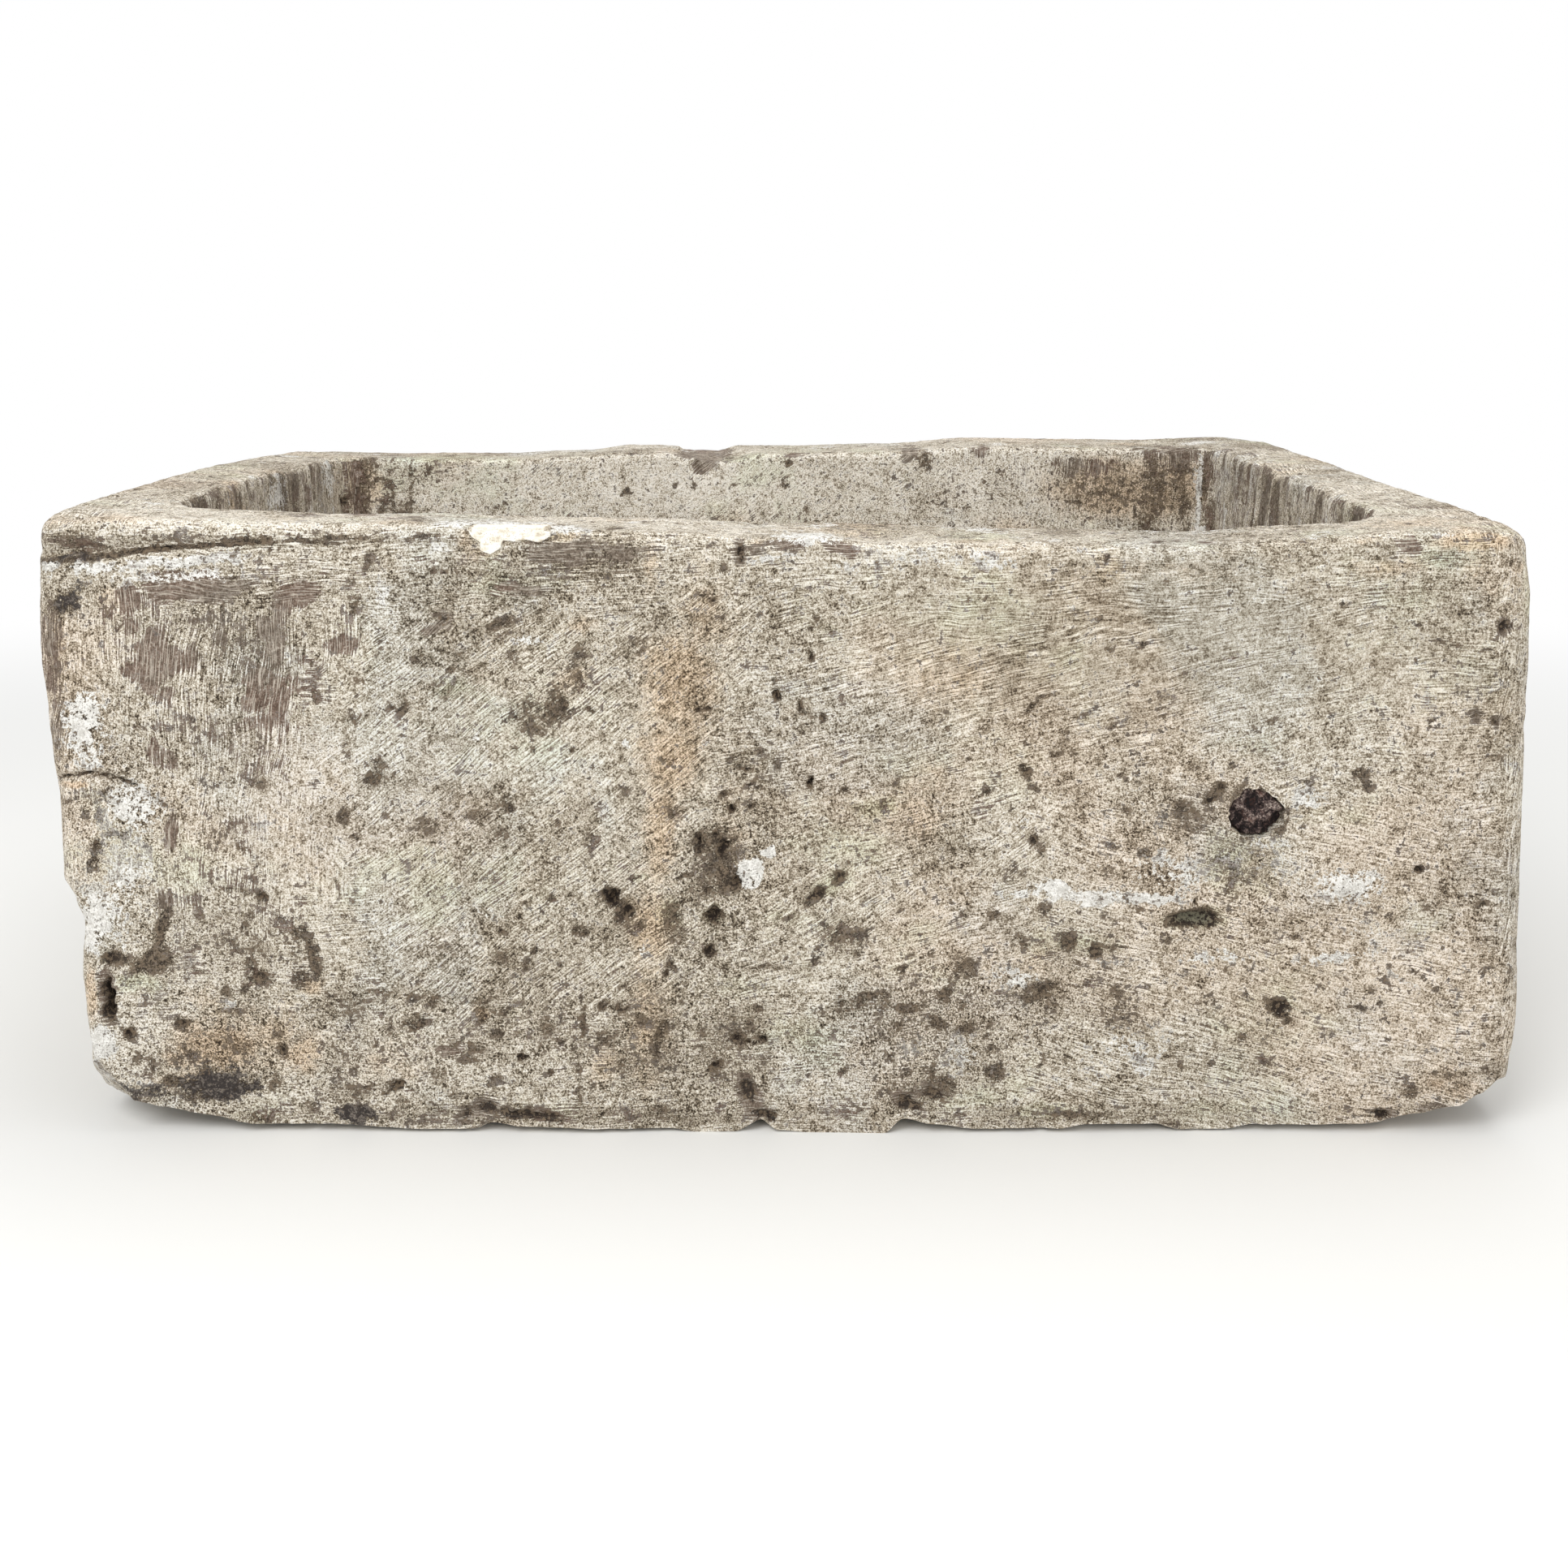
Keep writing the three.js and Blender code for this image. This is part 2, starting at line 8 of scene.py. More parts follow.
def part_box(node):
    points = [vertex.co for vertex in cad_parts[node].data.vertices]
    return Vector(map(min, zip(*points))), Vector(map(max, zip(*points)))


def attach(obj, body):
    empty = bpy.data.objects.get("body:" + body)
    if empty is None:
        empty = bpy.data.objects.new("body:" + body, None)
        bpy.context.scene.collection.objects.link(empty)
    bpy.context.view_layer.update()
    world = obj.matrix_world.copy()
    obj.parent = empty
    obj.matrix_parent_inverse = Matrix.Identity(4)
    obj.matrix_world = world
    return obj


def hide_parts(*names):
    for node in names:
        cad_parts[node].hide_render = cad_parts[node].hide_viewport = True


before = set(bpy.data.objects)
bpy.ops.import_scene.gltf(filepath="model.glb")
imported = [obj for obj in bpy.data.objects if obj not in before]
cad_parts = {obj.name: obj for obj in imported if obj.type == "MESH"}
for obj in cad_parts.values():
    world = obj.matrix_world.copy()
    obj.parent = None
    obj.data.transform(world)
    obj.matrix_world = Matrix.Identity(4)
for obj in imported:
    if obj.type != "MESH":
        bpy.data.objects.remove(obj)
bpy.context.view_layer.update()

# Sizes in the dictionaries are millimetres unless a note says otherwise.
mm = 0.001

# The photograph's camera. Marks on the block are listed by where they show in its picture.
camera = {
    "place": (-6.23, -1357.46, 537.8),
    "pitch": 6.0,             # degrees below level
    "focal": 2050.0,          # picture points
    "axisAt": (957.73, 606.1),
    "picture": 1932.0,
    "filmWidth": 36.0,
}


def makeCamera():
    data = bpy.data.cameras.new("photoCamera")
    obj = bpy.data.objects.new("photoCamera", data)
    bpy.context.scene.collection.objects.link(obj)
    obj.location = Vector(camera["place"]) * mm
    obj.rotation_euler = (math.radians(90 - camera["pitch"]), 0, 0)
    data.sensor_width = camera["filmWidth"]
    data.lens = camera["focal"] / camera["picture"] * camera["filmWidth"]
    middle = camera["picture"] / 2
    data.shift_x = (middle - camera["axisAt"][0]) / camera["picture"]
    data.shift_y = (camera["axisAt"][1] - middle) / camera["picture"]
    data.clip_start = 0.05
    data.clip_end = 60
    bpy.context.scene.camera = obj


def photoPlaces(points):
    # Where points of the block show in the picture, across and down.
    turn = math.radians(camera["pitch"])
    away = points - np.array(camera["place"])
    depth = away[:, 1] * math.cos(turn) - away[:, 2] * math.sin(turn)
    up = away[:, 1] * math.sin(turn) + away[:, 2] * math.cos(turn)
    across = camera["axisAt"][0] + camera["focal"] * away[:, 0] / depth
    down = camera["axisAt"][1] - camera["focal"] * up / depth
    return across, down


def smooth(value, low, high):
    share = np.clip((value - low) / (high - low), 0, 1)
    return share * share * (3 - 2 * share)


def mix(first, second, share):
    return first + (second - first) * share


def curveAt(points, place):
    # A curve through given points, level beyond its two ends.
    starts = np.array([p[0] for p in points], float)
    levels = np.array([p[1] for p in points], float)
    place = np.clip(np.asarray(place, float), starts[0], starts[-1])
    after = np.clip(np.searchsorted(starts, place, side="right"), 1, len(starts) - 1)
    ease = smooth(place, starts[after - 1], starts[after])
    return mix(levels[after - 1], levels[after], ease)


def mound(distance, reach):
    return 1 - smooth(np.abs(distance), 0, reach)


def latticeValue(cells, seed):
    mixed = cells[..., 0] * 374761393 + cells[..., 1] * 668265263 + cells[..., 2] * 1440662683
    mixed = (mixed + seed * 1274126177) & 0xFFFFFFFF
    mixed = ((mixed ^ (mixed >> 13)) * 1103515245) & 0xFFFFFFFF
    return ((mixed ^ (mixed >> 16)) & 0xFFFFFF) / 0xFFFFFF


def roughness(points, size, octaves, seed):
    # Seeded noise from -1 to 1 at points in mm. Size is the width of its largest lumps.
    total = np.zeros(len(points))
    weights = 0
    for octave in range(octaves):
        weight = 0.5 ** octave
        scaled = points / (size * weight) + 17.3 * (octave + 1)
        cell = np.floor(scaled).astype(np.int64)
        part = scaled - cell
        part = part * part * (3 - 2 * part)
        value = np.zeros(len(points))
        for corner in range(8):
            offset = np.array([corner & 1, corner >> 1 & 1, corner >> 2 & 1])
            share = np.prod(np.where(offset, part, 1 - part), axis=1)
            value += share * latticeValue(cell + offset, seed + octave)
        total += weight * (value * 2 - 1)
        weights += weight
    return total / weights


# The stone block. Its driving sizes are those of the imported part. Pits are listed by their depth,
# in picture points: across, down, half width, half height and, where one is turned, its degrees.
trough = {
    "length": 975, "depth": 610, "height": 406,
    "cornerRadius": 22, "rimOuterRound": 9, "rimInnerRound": 7,
    "walls": {"left": 68, "right": 78, "front": 72, "back": 88},
    "innerCornerRadius": 34, "wallDraft": 14, "floorThickness": 120, "floorRound": 30,
    "drainRadius": 16,
    "lip": {"dropAtCorner": 22, "dropAtFade": 15, "below": 4.5, "above": 9, "depth": 4.6},
    "rimSag": 15, "rimRise": 13, "leftRimSwell": 8, "leftRimSwellReach": 400,
    "cornerDrop": 3, "cornerDropReach": 46, "leftWear": 24, "rightWear": 10,
    "wave": 2.2, "waveSpan": 310, "baseChip": 9, "undercut": 0.5,
    "breakSizes": (162, 150, 88),
    "breakShares": [(0.47, 0.45, 1), (1, 1, 0.4)],
    "frontRim": [
        (-1, -0.25), (-0.86, -0.18), (-0.52, 0), (-0.2, 0.33), (0, 0.56),
        (0.31, 0.85), (0.54, 1), (0.71, 0.62), (0.87, 0.35), (1, 0.2),
    ],
    "backRim": [
        (-1, -0.15), (-0.83, -0.3), (-0.56, -0.22), (-0.4, 0.02), (-0.31, 0.4), (0, 0.35),
        (0.2, 0.55), (0.38, 1), (0.71, 0.8), (0.9, 1), (1, 0.85),
    ],
    "leftFace": [
        (0.03, 1.1), (0.13, 1), (0.2, 0.82), (0.27, 0.74), (0.345, 0.84), (0.385, 0.64),
        (0.42, 0.34), (0.55, 0.32), (0.62, 0.2), (0.7, 0.1), (0.78, 0), (0.86, 0.02),
        (0.94, 0.1), (1, 0.2),
    ],
    "rightFace": [
        (0.03, 0.7), (0.09, 0.4), (0.16, 0.08), (0.3, 0), (0.5, 0.12), (0.75, 0.3),
        (0.88, 0.6), (0.95, 0.9), (1, 1.1),
    ],
    "frontBase": [
        (-1, 0.9), (-0.64, 0.65), (-0.5, 0.3), (-0.43, 0.32), (-0.405, 0.8), (-0.36, 0.5),
        (-0.24, 0.35), (-0.16, 0.3), (-0.12, 0), (-0.07, 0.05), (-0.035, 1), (-0.01, 0.2),
        (0.03, 0), (0.13, 0), (0.16, 1.15), (0.2, 0.75), (0.26, 0.35), (0.37, 0.35),
        (0.41, 0.75), (0.5, 0.7), (0.54, 0.2), (0.6, 0.2), (0.64, 0.6),
        (0.8, 0.6), (0.86, 1.3), (0.92, 1.9), (0.95, 2.8), (0.975, 4), (1, 4.6),
    ],
    "otherBase": [
        (0, 1.1), (0.06, 0.4), (0.13, 0.1), (0.19, 0.6), (0.25, 0.2), (0.33, 0.9), (0.38, 0.3),
        (0.47, 0), (0.55, 0.5), (0.6, 0.2), (0.68, 0.7), (0.75, 0.1), (0.84, 0.3), (0.92, 0.6),
        (1, 0.8),
    ],
    "rimChips": [
        (0.87, 0.1, 0.9, 1), (0.84, 0.42, 0.55, 0.8), (-0.11, 0.74, 1, 0.9),
        (-0.86, 0.2, 0.7, 1), (-0.95, -0.93, 0.6, 0.6), (0.12, -0.95, 0.45, 1),
    ],
    "rimChipDepth": 7, "rimChipReach": 42,
    "waves": [
        (1, 0.8, 0.6, 0.1, 0.5), (-1.7, 1.4, 1.3, 0.35, 0.3), (2.6, -2.2, -1.9, 0.8, 0.2),
    ],
    "steps": {"front": 460, "back": 170, "side": 120, "corner": 10},
    "rows": {"wall": 188, "rim": 20, "hollow": 56, "fillet": 8, "floor": 15, "under": 9},
    "pits": {
        15: [(135, 1232, 9, 34)],
        8: [(757, 1106, 12, 13, -25)],
        7: [(878, 1130, 12, 13)],
        6.5: [(1471, 1132, 38, 13)],
        5.5: [(893, 1046, 7, 13), (905, 1086, 11, 9)],
        5: [(862, 1036, 6, 13), (959, 862, 6, 9), (997, 965, 5, 10), (921, 1285, 6, 5),
            (650, 1376, 55, 10, -5), (1118, 1361, 22, 12), (1700, 1376, 15, 8)],
        4.5: [(775, 1125, 10, 13, -40), (873, 1172, 7, 10, -20), (998, 806, 5, 12),
            (900, 998, 4, 9), (912, 680, 8, 16), (1857, 773, 10, 8), (922, 1345, 12, 26, 12),
            (942, 1375, 20, 8, -20)],
        4: [(884, 1030, 5, 9), (957, 843, 4, 9), (1750, 1070, 5, 6), (134, 1182, 14, 12),
            (938, 1278, 8, 6, -20)],
        3.5: [(818, 1198, 4, 7), (203, 674, 7, 4), (1475, 1108, 5, 6), (1580, 1245, 20, 10, -30),
            (908, 1279, 11, 10), (884, 1310, 9, 6), (1506, 972, 9, 7, 20), (158, 1272, 8, 8),
            (600, 1365, 17, 12), (575, 1372, 9, 11)],
        3: [(702, 1099, 6, 4), (870, 1097, 6, 7), (985, 870, 6, 10, -15), (862, 875, 6, 6, 30),
            (873, 870, 6, 5), (921, 946, 7, 7), (705, 925, 5, 7), (1821, 884, 9, 8),
            (1847, 887, 7, 9), (1006, 1102, 15, 9, 30), (1262, 952, 11, 8, -30), (1272, 1037, 8, 7),
            (1490, 985, 11, 7, 20), (645, 1303, 8, 5), (226, 1265, 10, 8), (120, 1043, 8, 9),
            (1150, 1349, 26, 10, -15)],
        2.5: [(1012, 887, 3, 8), (1019, 847, 4, 4), (1007, 762, 4, 5), (1002, 775, 3, 5),
            (927, 909, 6, 5), (893, 980, 7, 8, -30), (925, 990, 5, 5), (1041, 975, 8, 5, 10),
            (880, 740, 8, 6), (1592, 1258, 10, 6), (876, 1320, 5, 4), (1033, 1082, 12, 9, 25),
            (1300, 930, 9, 6), (1272, 872, 11, 5, 20), (617, 1146, 9, 5, -15), (679, 1319, 5, 3),
            (742, 1240, 7, 7), (812, 1270, 8, 12, -30), (350, 1290, 8, 12, -30), (325, 1105, 11, 7),
            (118, 1065, 7, 13, -20), (485, 1342, 20, 12, 30)],
        2.2: [(716, 1146, 14, 7, -10)],
        2: [(791, 1145, 13, 6, -35), (828, 1190, 8, 5), (1023, 779, 4, 3), (912, 943, 11, 5),
            (728, 874, 5, 4), (692, 868, 9, 6), (738, 1105, 4, 4), (765, 1242, 8, 7),
            (320, 1204, 13, 9), (460, 960, 12, 10, 30), (627, 992, 9, 8)],
        1.8: [(545, 765, 11, 12), (1290, 1222, 24, 12, 20), (1352, 1172, 9, 12)],
        1.5: [(498, 870, 8, 12), (1316, 1162, 14, 10)],
        1.2: [(1465, 1003, 20, 12)],
    },
    "backChip": {5: [(868, 552, 38, 16)], 4: [(870, 575, 16, 14)]},
    # Each line: how wide and how deep it is, and the places that it runs through.
    "lines": [
        (5, 4.2, [(72, 958), (90, 955), (110, 953), (130, 955), (150, 962), (166, 970)]),
        (5, 2.0, [(166, 970), (182, 979), (205, 993)]),
        (2.5, 0.9, [(1008, 1014), (1050, 1017), (1100, 1018), (1125, 1016)]),
        (3, 1.1, [(1055, 1065), (1100, 1061), (1150, 1053), (1200, 1049), (1250, 1047)]),
        (3.5, 0.9, [(898, 1197), (940, 1191), (980, 1190), (1004, 1196)]),
        (4.5, 1.6, [(722, 1225), (717, 1290), (716, 1386)]),
        (4, 1.1, [
            (1600, 1200), (1650, 1204), (1700, 1200), (1730, 1211), (1765, 1233), (1795, 1252)]),
        (3.5, 0.8, [(1640, 1181), (1700, 1191), (1740, 1201), (1762, 1218)]),
        (3, 1.0, [(1766, 795), (1800, 796), (1858, 804)]),
        (3, 0.8, [(1766, 795), (1764, 835)]),
        (2.5, 0.8, [(1665, 862), (1662, 897)]),
        (3, 0.9, [(1664, 863), (1720, 860)]),
        (4, 1.5, [(448, 1352), (480, 1332), (500, 1336), (542, 1378)]),
        (3, 1.1, [(1688, 826), (1690, 815), (1745, 814)]),
        (2, 1.0, [(1365, 680), (1363, 700)]),
        (4, 1.3, [(262, 1096), (300, 1098), (335, 1108)]),
        (3, 0.9, [(383, 1142), (390, 1175), (398, 1200)]),
    ],
    "seed": 41,
    "spread": 900,            # small pits scattered over all faces
    "spreadRadius": (2.5, 7.5),
    "spreadDepth": 2.4,
}

halfLength = trough["length"] / 2
halfDepth = trough["depth"] / 2
quarterTurn = math.pi / 2


def waveAt(x, y, z):
    total = 0
    for along, across, up, start, weight in trough["waves"]:
        turns = start + (along * x + across * y + up * z) / trough["waveSpan"]
        total = total + weight * np.sin(2 * math.pi * turns)
    return trough["wave"] * total


def rimHeightAt(x, y):
    along = x / halfLength
    back = np.clip((y + halfDepth) / trough["depth"], 0, 1)
    front = -trough["rimSag"] * curveAt(trough["frontRim"], along)
    rear = trough["rimRise"] * curveAt(trough["backRim"], along)
    swell = trough["leftRimSwell"] * mound(y, trough["leftRimSwellReach"]) * smooth(-along, 0.6, 1)
    corner = np.hypot(halfLength - np.abs(x), halfDepth - np.abs(y))
    chips = 0
    for at, across, depth, reach in trough["rimChips"]:
        away = np.hypot(x - at * halfLength, y - across * halfDepth)
        chips = chips + trough["rimChipDepth"] * depth * mound(away, trough["rimChipReach"] * reach)
    return (
        trough["height"] + mix(front, rear, back) + swell
        - trough["cornerDrop"] * mound(corner, trough["cornerDropReach"]) - chips
    )


def baseLiftAt(x, y):
    onFront = smooth(-y, halfDepth - trough["cornerRadius"], halfDepth)
    around = (np.arctan2(y * trough["length"], -x * trough["depth"]) + math.pi) / (2 * math.pi)
    front = curveAt(trough["frontBase"], x / halfLength)
    other = curveAt(trough["otherBase"], around)
    return trough["baseChip"] * mix(other, front, onFront)


def wornFoot(x, y):
    # The lower right corner is worn away some way back, so nothing shows under its front edge.
    back = y + halfDepth
    front = curveAt(trough["frontBase"], x * (1 - np.maximum(back, 0) / 2500) / halfLength)
    wanted = trough["baseChip"] * front + 3 - 0.26 * np.maximum(back, 0)
    return smooth(x, 330, 420) * np.maximum(0, wanted - baseLiftAt(x, y))


def endWearAt(x, y, z):
    height = z / trough["height"]
    toBack = smooth(y, -halfDepth, halfDepth)
    left = trough["leftWear"] * mix(1, 0.45, toBack) * curveAt(trough["leftFace"], height)
    right = trough["rightWear"] * curveAt(trough["rightFace"], height)
    return (np.abs(x) / halfLength) ** 3 * np.where(x < 0, left, -right)


def lipAt(x, normalY):
    fromCorner = (x + halfLength) / halfLength
    run = np.clip(fromCorner / 0.5, 0, 1)
    fade = 1 - smooth(fromCorner, 0.12, 0.52)
    lip = trough["lip"]
    return mix(lip["dropAtCorner"], lip["dropAtFade"], run), fade * np.clip(-normalY, 0, 1)


def ringSteps():
    steps = trough["steps"]
    counts = [steps["front"], steps["side"], steps["back"], steps["side"]]
    rows = []
    for side, count in enumerate(counts):
        angle = (side - 1) * quarterTurn
        after = (side + 1) % 4
        for step in range(count):
            rows.append((side, after, step / count, angle))
        for step in range(steps["corner"]):
            rows.append((after, after, 0, angle + step / steps["corner"] * quarterTurn))
    table = np.array(rows)
    return table[:, 0].astype(int), table[:, 1].astype(int), table[:, 2:3], table[:, 3]


stepFrom, stepTo, stepShare, stepAngle = ringSteps()
stepNormal = np.stack([np.cos(stepAngle), np.sin(stepAngle)], axis=1)


def outerPlan(inset):
    radius = trough["cornerRadius"]
    return np.array([
        inset - halfLength, halfLength - inset, inset - halfDepth, halfDepth - inset,
        max(radius - inset, radius * 0.4),
    ])


def hollowPlan(inset):
    walls, radius = trough["walls"], trough["innerCornerRadius"]
    return np.array([
        walls["left"] + inset - halfLength, halfLength - walls["right"] - inset,
        walls["front"] + inset - halfDepth, halfDepth - walls["back"] - inset,
        max(radius - inset, radius * 0.4),
    ])


def ringOf(plan, heightAt, waveSide, endShare):
    # One ring round the block: its height, its share of the wave, and its share of the end wear.
    left, right, front, back, radius = plan
    centres = np.array([
        (left + radius, front + radius), (right - radius, front + radius),
        (right - radius, back - radius), (left + radius, back - radius),
    ])
    place = mix(centres[stepFrom], centres[stepTo], stepShare) + stepNormal * radius
    x, y = place.T
    z = heightAt(x, y) if callable(heightAt) else np.full(len(x), float(heightAt))
    inward = waveSide * waveAt(x, y, z)
    wear = endShare * endWearAt(x, y, z)
    return np.stack([x - stepNormal[:, 0] * inward + wear, y - stepNormal[:, 1] * inward, z], 1)


def blockRings():
    # Rings in order round the section: outside wall, rim, hollow, floor, drain, underside.
    count = trough["rows"]
    outer, inner = trough["rimOuterRound"], trough["rimInnerRound"]
    rings = []
    for row in range(count["wall"] + 1):
        share = row / count["wall"]
        rings.append(ringOf(
            outerPlan(0),
            lambda x, y: mix(baseLiftAt(x, y), rimHeightAt(x, y) - outer, share), 1, 1,
        ))
    for row in range(1, 6):
        turn = row / 5 * quarterTurn
        rings.append(ringOf(
            outerPlan(outer * (1 - math.cos(turn))),
            lambda x, y: rimHeightAt(x, y) - outer * (1 - math.sin(turn)), 1, 1,
        ))
    for row in range(1, count["rim"]):
        share = row / count["rim"]
        plan = mix(outerPlan(outer), hollowPlan(-inner), share)
        rings.append(ringOf(plan, rimHeightAt, 1 - 2 * share, 1 - share))
    for row in range(0, 5):
        turn = row / 4 * quarterTurn
        rings.append(ringOf(
            hollowPlan(inner * (math.sin(turn) - 1)),
            lambda x, y: rimHeightAt(x, y) - inner * (1 - math.cos(turn)), -1, 0,
        ))
    filletTop = trough["floorThickness"] + trough["floorRound"]
    for row in range(1, count["hollow"] + 1):
        down = row / count["hollow"]
        rings.append(ringOf(
            hollowPlan(trough["wallDraft"] * down),
            lambda x, y: mix(rimHeightAt(x, y) - inner, filletTop, down), -1, 0,
        ))
    for row in range(1, count["fillet"] + 1):
        turn = row / count["fillet"] * quarterTurn
        inset = trough["wallDraft"] + trough["floorRound"] * (1 - math.cos(turn))
        height = filletTop - trough["floorRound"] * math.sin(turn)
        rings.append(ringOf(hollowPlan(inset), height, row / count["fillet"] - 1, 0))
    floorEdge = rings[-1]
    ray = floorEdge[:, :2] / np.hypot(floorEdge[:, 0], floorEdge[:, 1])[:, None]
    drain = np.column_stack([ray * trough["drainRadius"], np.zeros(len(ray))])
    for row in range(1, count["floor"] + 1):
        ring = mix(floorEdge, drain, row / count["floor"])
        ring[:, 2] = trough["floorThickness"] - 2 * (row == count["floor"])
        rings.append(ring)
    for row in range(1, 6):
        ring = drain.copy()
        ring[:, 2] = trough["floorThickness"] * (1 - row / 5)
        rings.append(ring)
    lift = rings[0][:, 2]
    under = []
    for inset in (3, 7, 12, 20, 34, 56, 84):
        ring = ringOf(outerPlan(inset), 0, 1, 1)
        ring[:, 2] = np.maximum(0, lift - inset * trough["undercut"])
        under.append(ring)
    for row in range(1, count["under"]):
        rings.append(mix(drain, under[-1], row / count["under"]))
        rings[-1][:, 2] = 0
    return np.stack(rings + under[::-1])


def meshFrom(name, points, faces):
    mesh = bpy.data.meshes.new(name)
    mesh.from_pydata([], [], [])
    mesh.vertices.add(len(points))
    mesh.vertices.foreach_set("co", np.asarray(points, np.float32).ravel())
    sizes = faces.shape[1]
    mesh.loops.add(len(faces) * sizes)
    mesh.loops.foreach_set("vertex_index", faces.astype(np.int32).ravel())
    mesh.polygons.add(len(faces))
    mesh.polygons.foreach_set("loop_start", np.arange(0, len(faces) * sizes, sizes, dtype=np.int32))
    mesh.update(calc_edges=True)
    mesh.validate()
    obj = bpy.data.objects.new(name, mesh)
    bpy.context.scene.collection.objects.link(obj)
    return obj


def withModifier(obj, kind, **settings):
    # Adds one modifier and keeps its result as the mesh.
    modifier = obj.modifiers.new(kind.lower(), kind)
    for key, value in settings.items():
        setattr(modifier, key, value)
    graph = bpy.context.evaluated_depsgraph_get()
    mesh = bpy.data.meshes.new_from_object(obj.evaluated_get(graph), depsgraph=graph)
    obj.modifiers.clear()
    old = obj.data
    obj.data = mesh
    bpy.data.meshes.remove(old)
    mesh.name = obj.name


def vertexPlaces(mesh):
    places = np.empty(len(mesh.vertices) * 3, np.float32)
    mesh.vertices.foreach_get("co", places)
    return places.reshape(-1, 3).astype(float)


def vertexNormals(mesh):
    normals = np.empty(len(mesh.vertices) * 3, np.float32)
    mesh.vertex_normals.foreach_get("vector", normals)
    return normals.reshape(-1, 3).astype(float)


def setPlaces(mesh, places):
    mesh.vertices.foreach_set("co", places.astype(np.float32).ravel())
    mesh.update()


def prism(name, outline, frontY, backY):
    # A closed bar along Y on an outline of (x, z) points, counterclockwise from the front.
    outline = np.asarray(outline, float)
    count = len(outline)
    front = np.column_stack([outline[:, 0], np.full(count, frontY), outline[:, 1]])
    back = front.copy()
    back[:, 1] = backY
    obj = meshFrom(name, np.vstack([front, back]), np.array([
        (i, i + count, (i + 1) % count + count, (i + 1) % count) for i in range(count)
    ]))
    work = bmesh.new()
    work.from_mesh(obj.data)
    work.verts.ensure_lookup_table()
    work.faces.new([work.verts[i] for i in range(count)])
    work.faces.new([work.verts[i + count] for i in reversed(range(count))])
    bmesh.ops.recalc_face_normals(work, faces=work.faces)
    work.to_mesh(obj.data)
    work.free()
    return obj


# The dark fill in the old outlet: the bore it sits in, and its crust.
outletFill = {
    "across": 304, "up": 217, "boreRadius": 15.5, "gap": 0.3,
    "mouthDepth": 8,
    # Shape of the broken mouth: an angle in degrees, and how far it reaches beyond the bore.
    "mouth": [
        (-180, 0.8), (-170, 2.0), (-160, 0.9), (-150, 2.9), (-142, 1.2), (-130, 0.5), (-118, 1.7),
        (-105, 0.2), (-92, 1.0), (-80, 0.1), (-68, 1.5), (-55, 2.3), (-45, 0.6), (-33, 1.8),
        (-22, 3.4), (-12, 4.8), (-2, 3.4), (8, 5.2), (18, 3.6), (28, 1.9), (38, 1.9), (48, 0.3),
        (60, 1.0), (72, 0.2), (84, 1.6), (95, 0.6), (106, 2.5), (116, 2.8), (126, 0.8), (137, 0.5),
        (148, 1.7), (160, 1.0), (170, 2.1), (180, 0.8),
    ],
    "recess": 3.5, "crown": 2.4, "length": 58.5, "around": 128, "seed": 7,
    "crust": [(9, 7.5), (3.2, 3.6)], "crustLow": -2.2, "crustHigh": 3.0,     # size and height
    "tones": [
        (0.28, (24, 16, 16)), (0.42, (56, 43, 41)), (0.54, (90, 74, 70)), (0.66, (132, 116, 108)),
        (0.8, (182, 168, 158)),
    ],
    # The first colour here paints shade into the cracks of the crust.
    "crackShade": (30, 21, 21), "rust": (104, 70, 58), "bump": (0.8, 0.0012), "gloss": 0.35,
    "spread": 0.85, "pull": 0.5,        # how far it fills the broken mouth, and shrinks from it
}

# The lime filler on the front rim.
rimFiller = {
    "across": -177, "length": 52, "seatDepth": 15, "proud": 0.9, "gap": 0.3,
    "outline": [
        (-26, -0.85), (-23.92, -5.27), (-18.72, -8.5), (-18.72, -14.1), (-12.22, -16.5),
        (-5.72, -12.5), (-4.16, -7.31), (3.12, -8.08), (11.44, -6.8), (18.72, -8.5),
        (26, -4.68), (24.96, -0.43),
    ],
    "topEnds": (23.92, -24.96), "voxel": 0.5, "seed": 19, "lumps": ((8, 0.55), (2.4, 0.2)),
    "tones": [
        (0.38, (200, 188, 166)), (0.45, (234, 226, 209)), (0.51, (248, 243, 232)),
        (0.6, (254, 252, 246)),
    ],
    "fleck": (176, 160, 136), "thinEdge": 6, "bump": (0.5, 0.0006), "gloss": 0.35,
    "stoneTones": [
        (0.4, (112, 98, 80)), (0.47, (176, 163, 142)), (0.54, (214, 205, 188)),
        (0.62, (240, 234, 222)),
    ],
    # Lime smeared over the rim beside it, in x and y.
    "smears": [
        (-215, -291, 17, 12, 15, 0.75), (-146, -287, 15, 15, -10, 0.7),
        (-186, -281, 22, 11, 5, 0.75),
        (-161, -276, 15, 8, -20, 0.6), (-207, -276, 10, 9, 0, 0.5), (-138, -298, 24, 7, 0, 0.5),
    ],
}


def fillerRim():
    middle = -halfDepth + rimFiller["seatDepth"] / 2
    return float(rimHeightAt(np.float64(rimFiller["across"]), middle))


def frontFaceAt(x, z):
    return float(waveAt(x, -halfDepth, z)) - halfDepth


def cadShift():
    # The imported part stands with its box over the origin, so the block moves by as much.
    low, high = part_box("outlet_plug")
    front = frontFaceAt(outletFill["across"], outletFill["up"]) + outletFill["recess"]
    return np.array([(low.x + high.x) / 2 / mm - outletFill["across"], low.y / mm - front, 0])


def mouthReach(angles):
    return curveAt(outletFill["mouth"], np.degrees(angles))


def roundOutline(radii, angles):
    return np.column_stack([
        outletFill["across"] + radii * np.cos(angles), outletFill["up"] + radii * np.sin(angles),
    ])


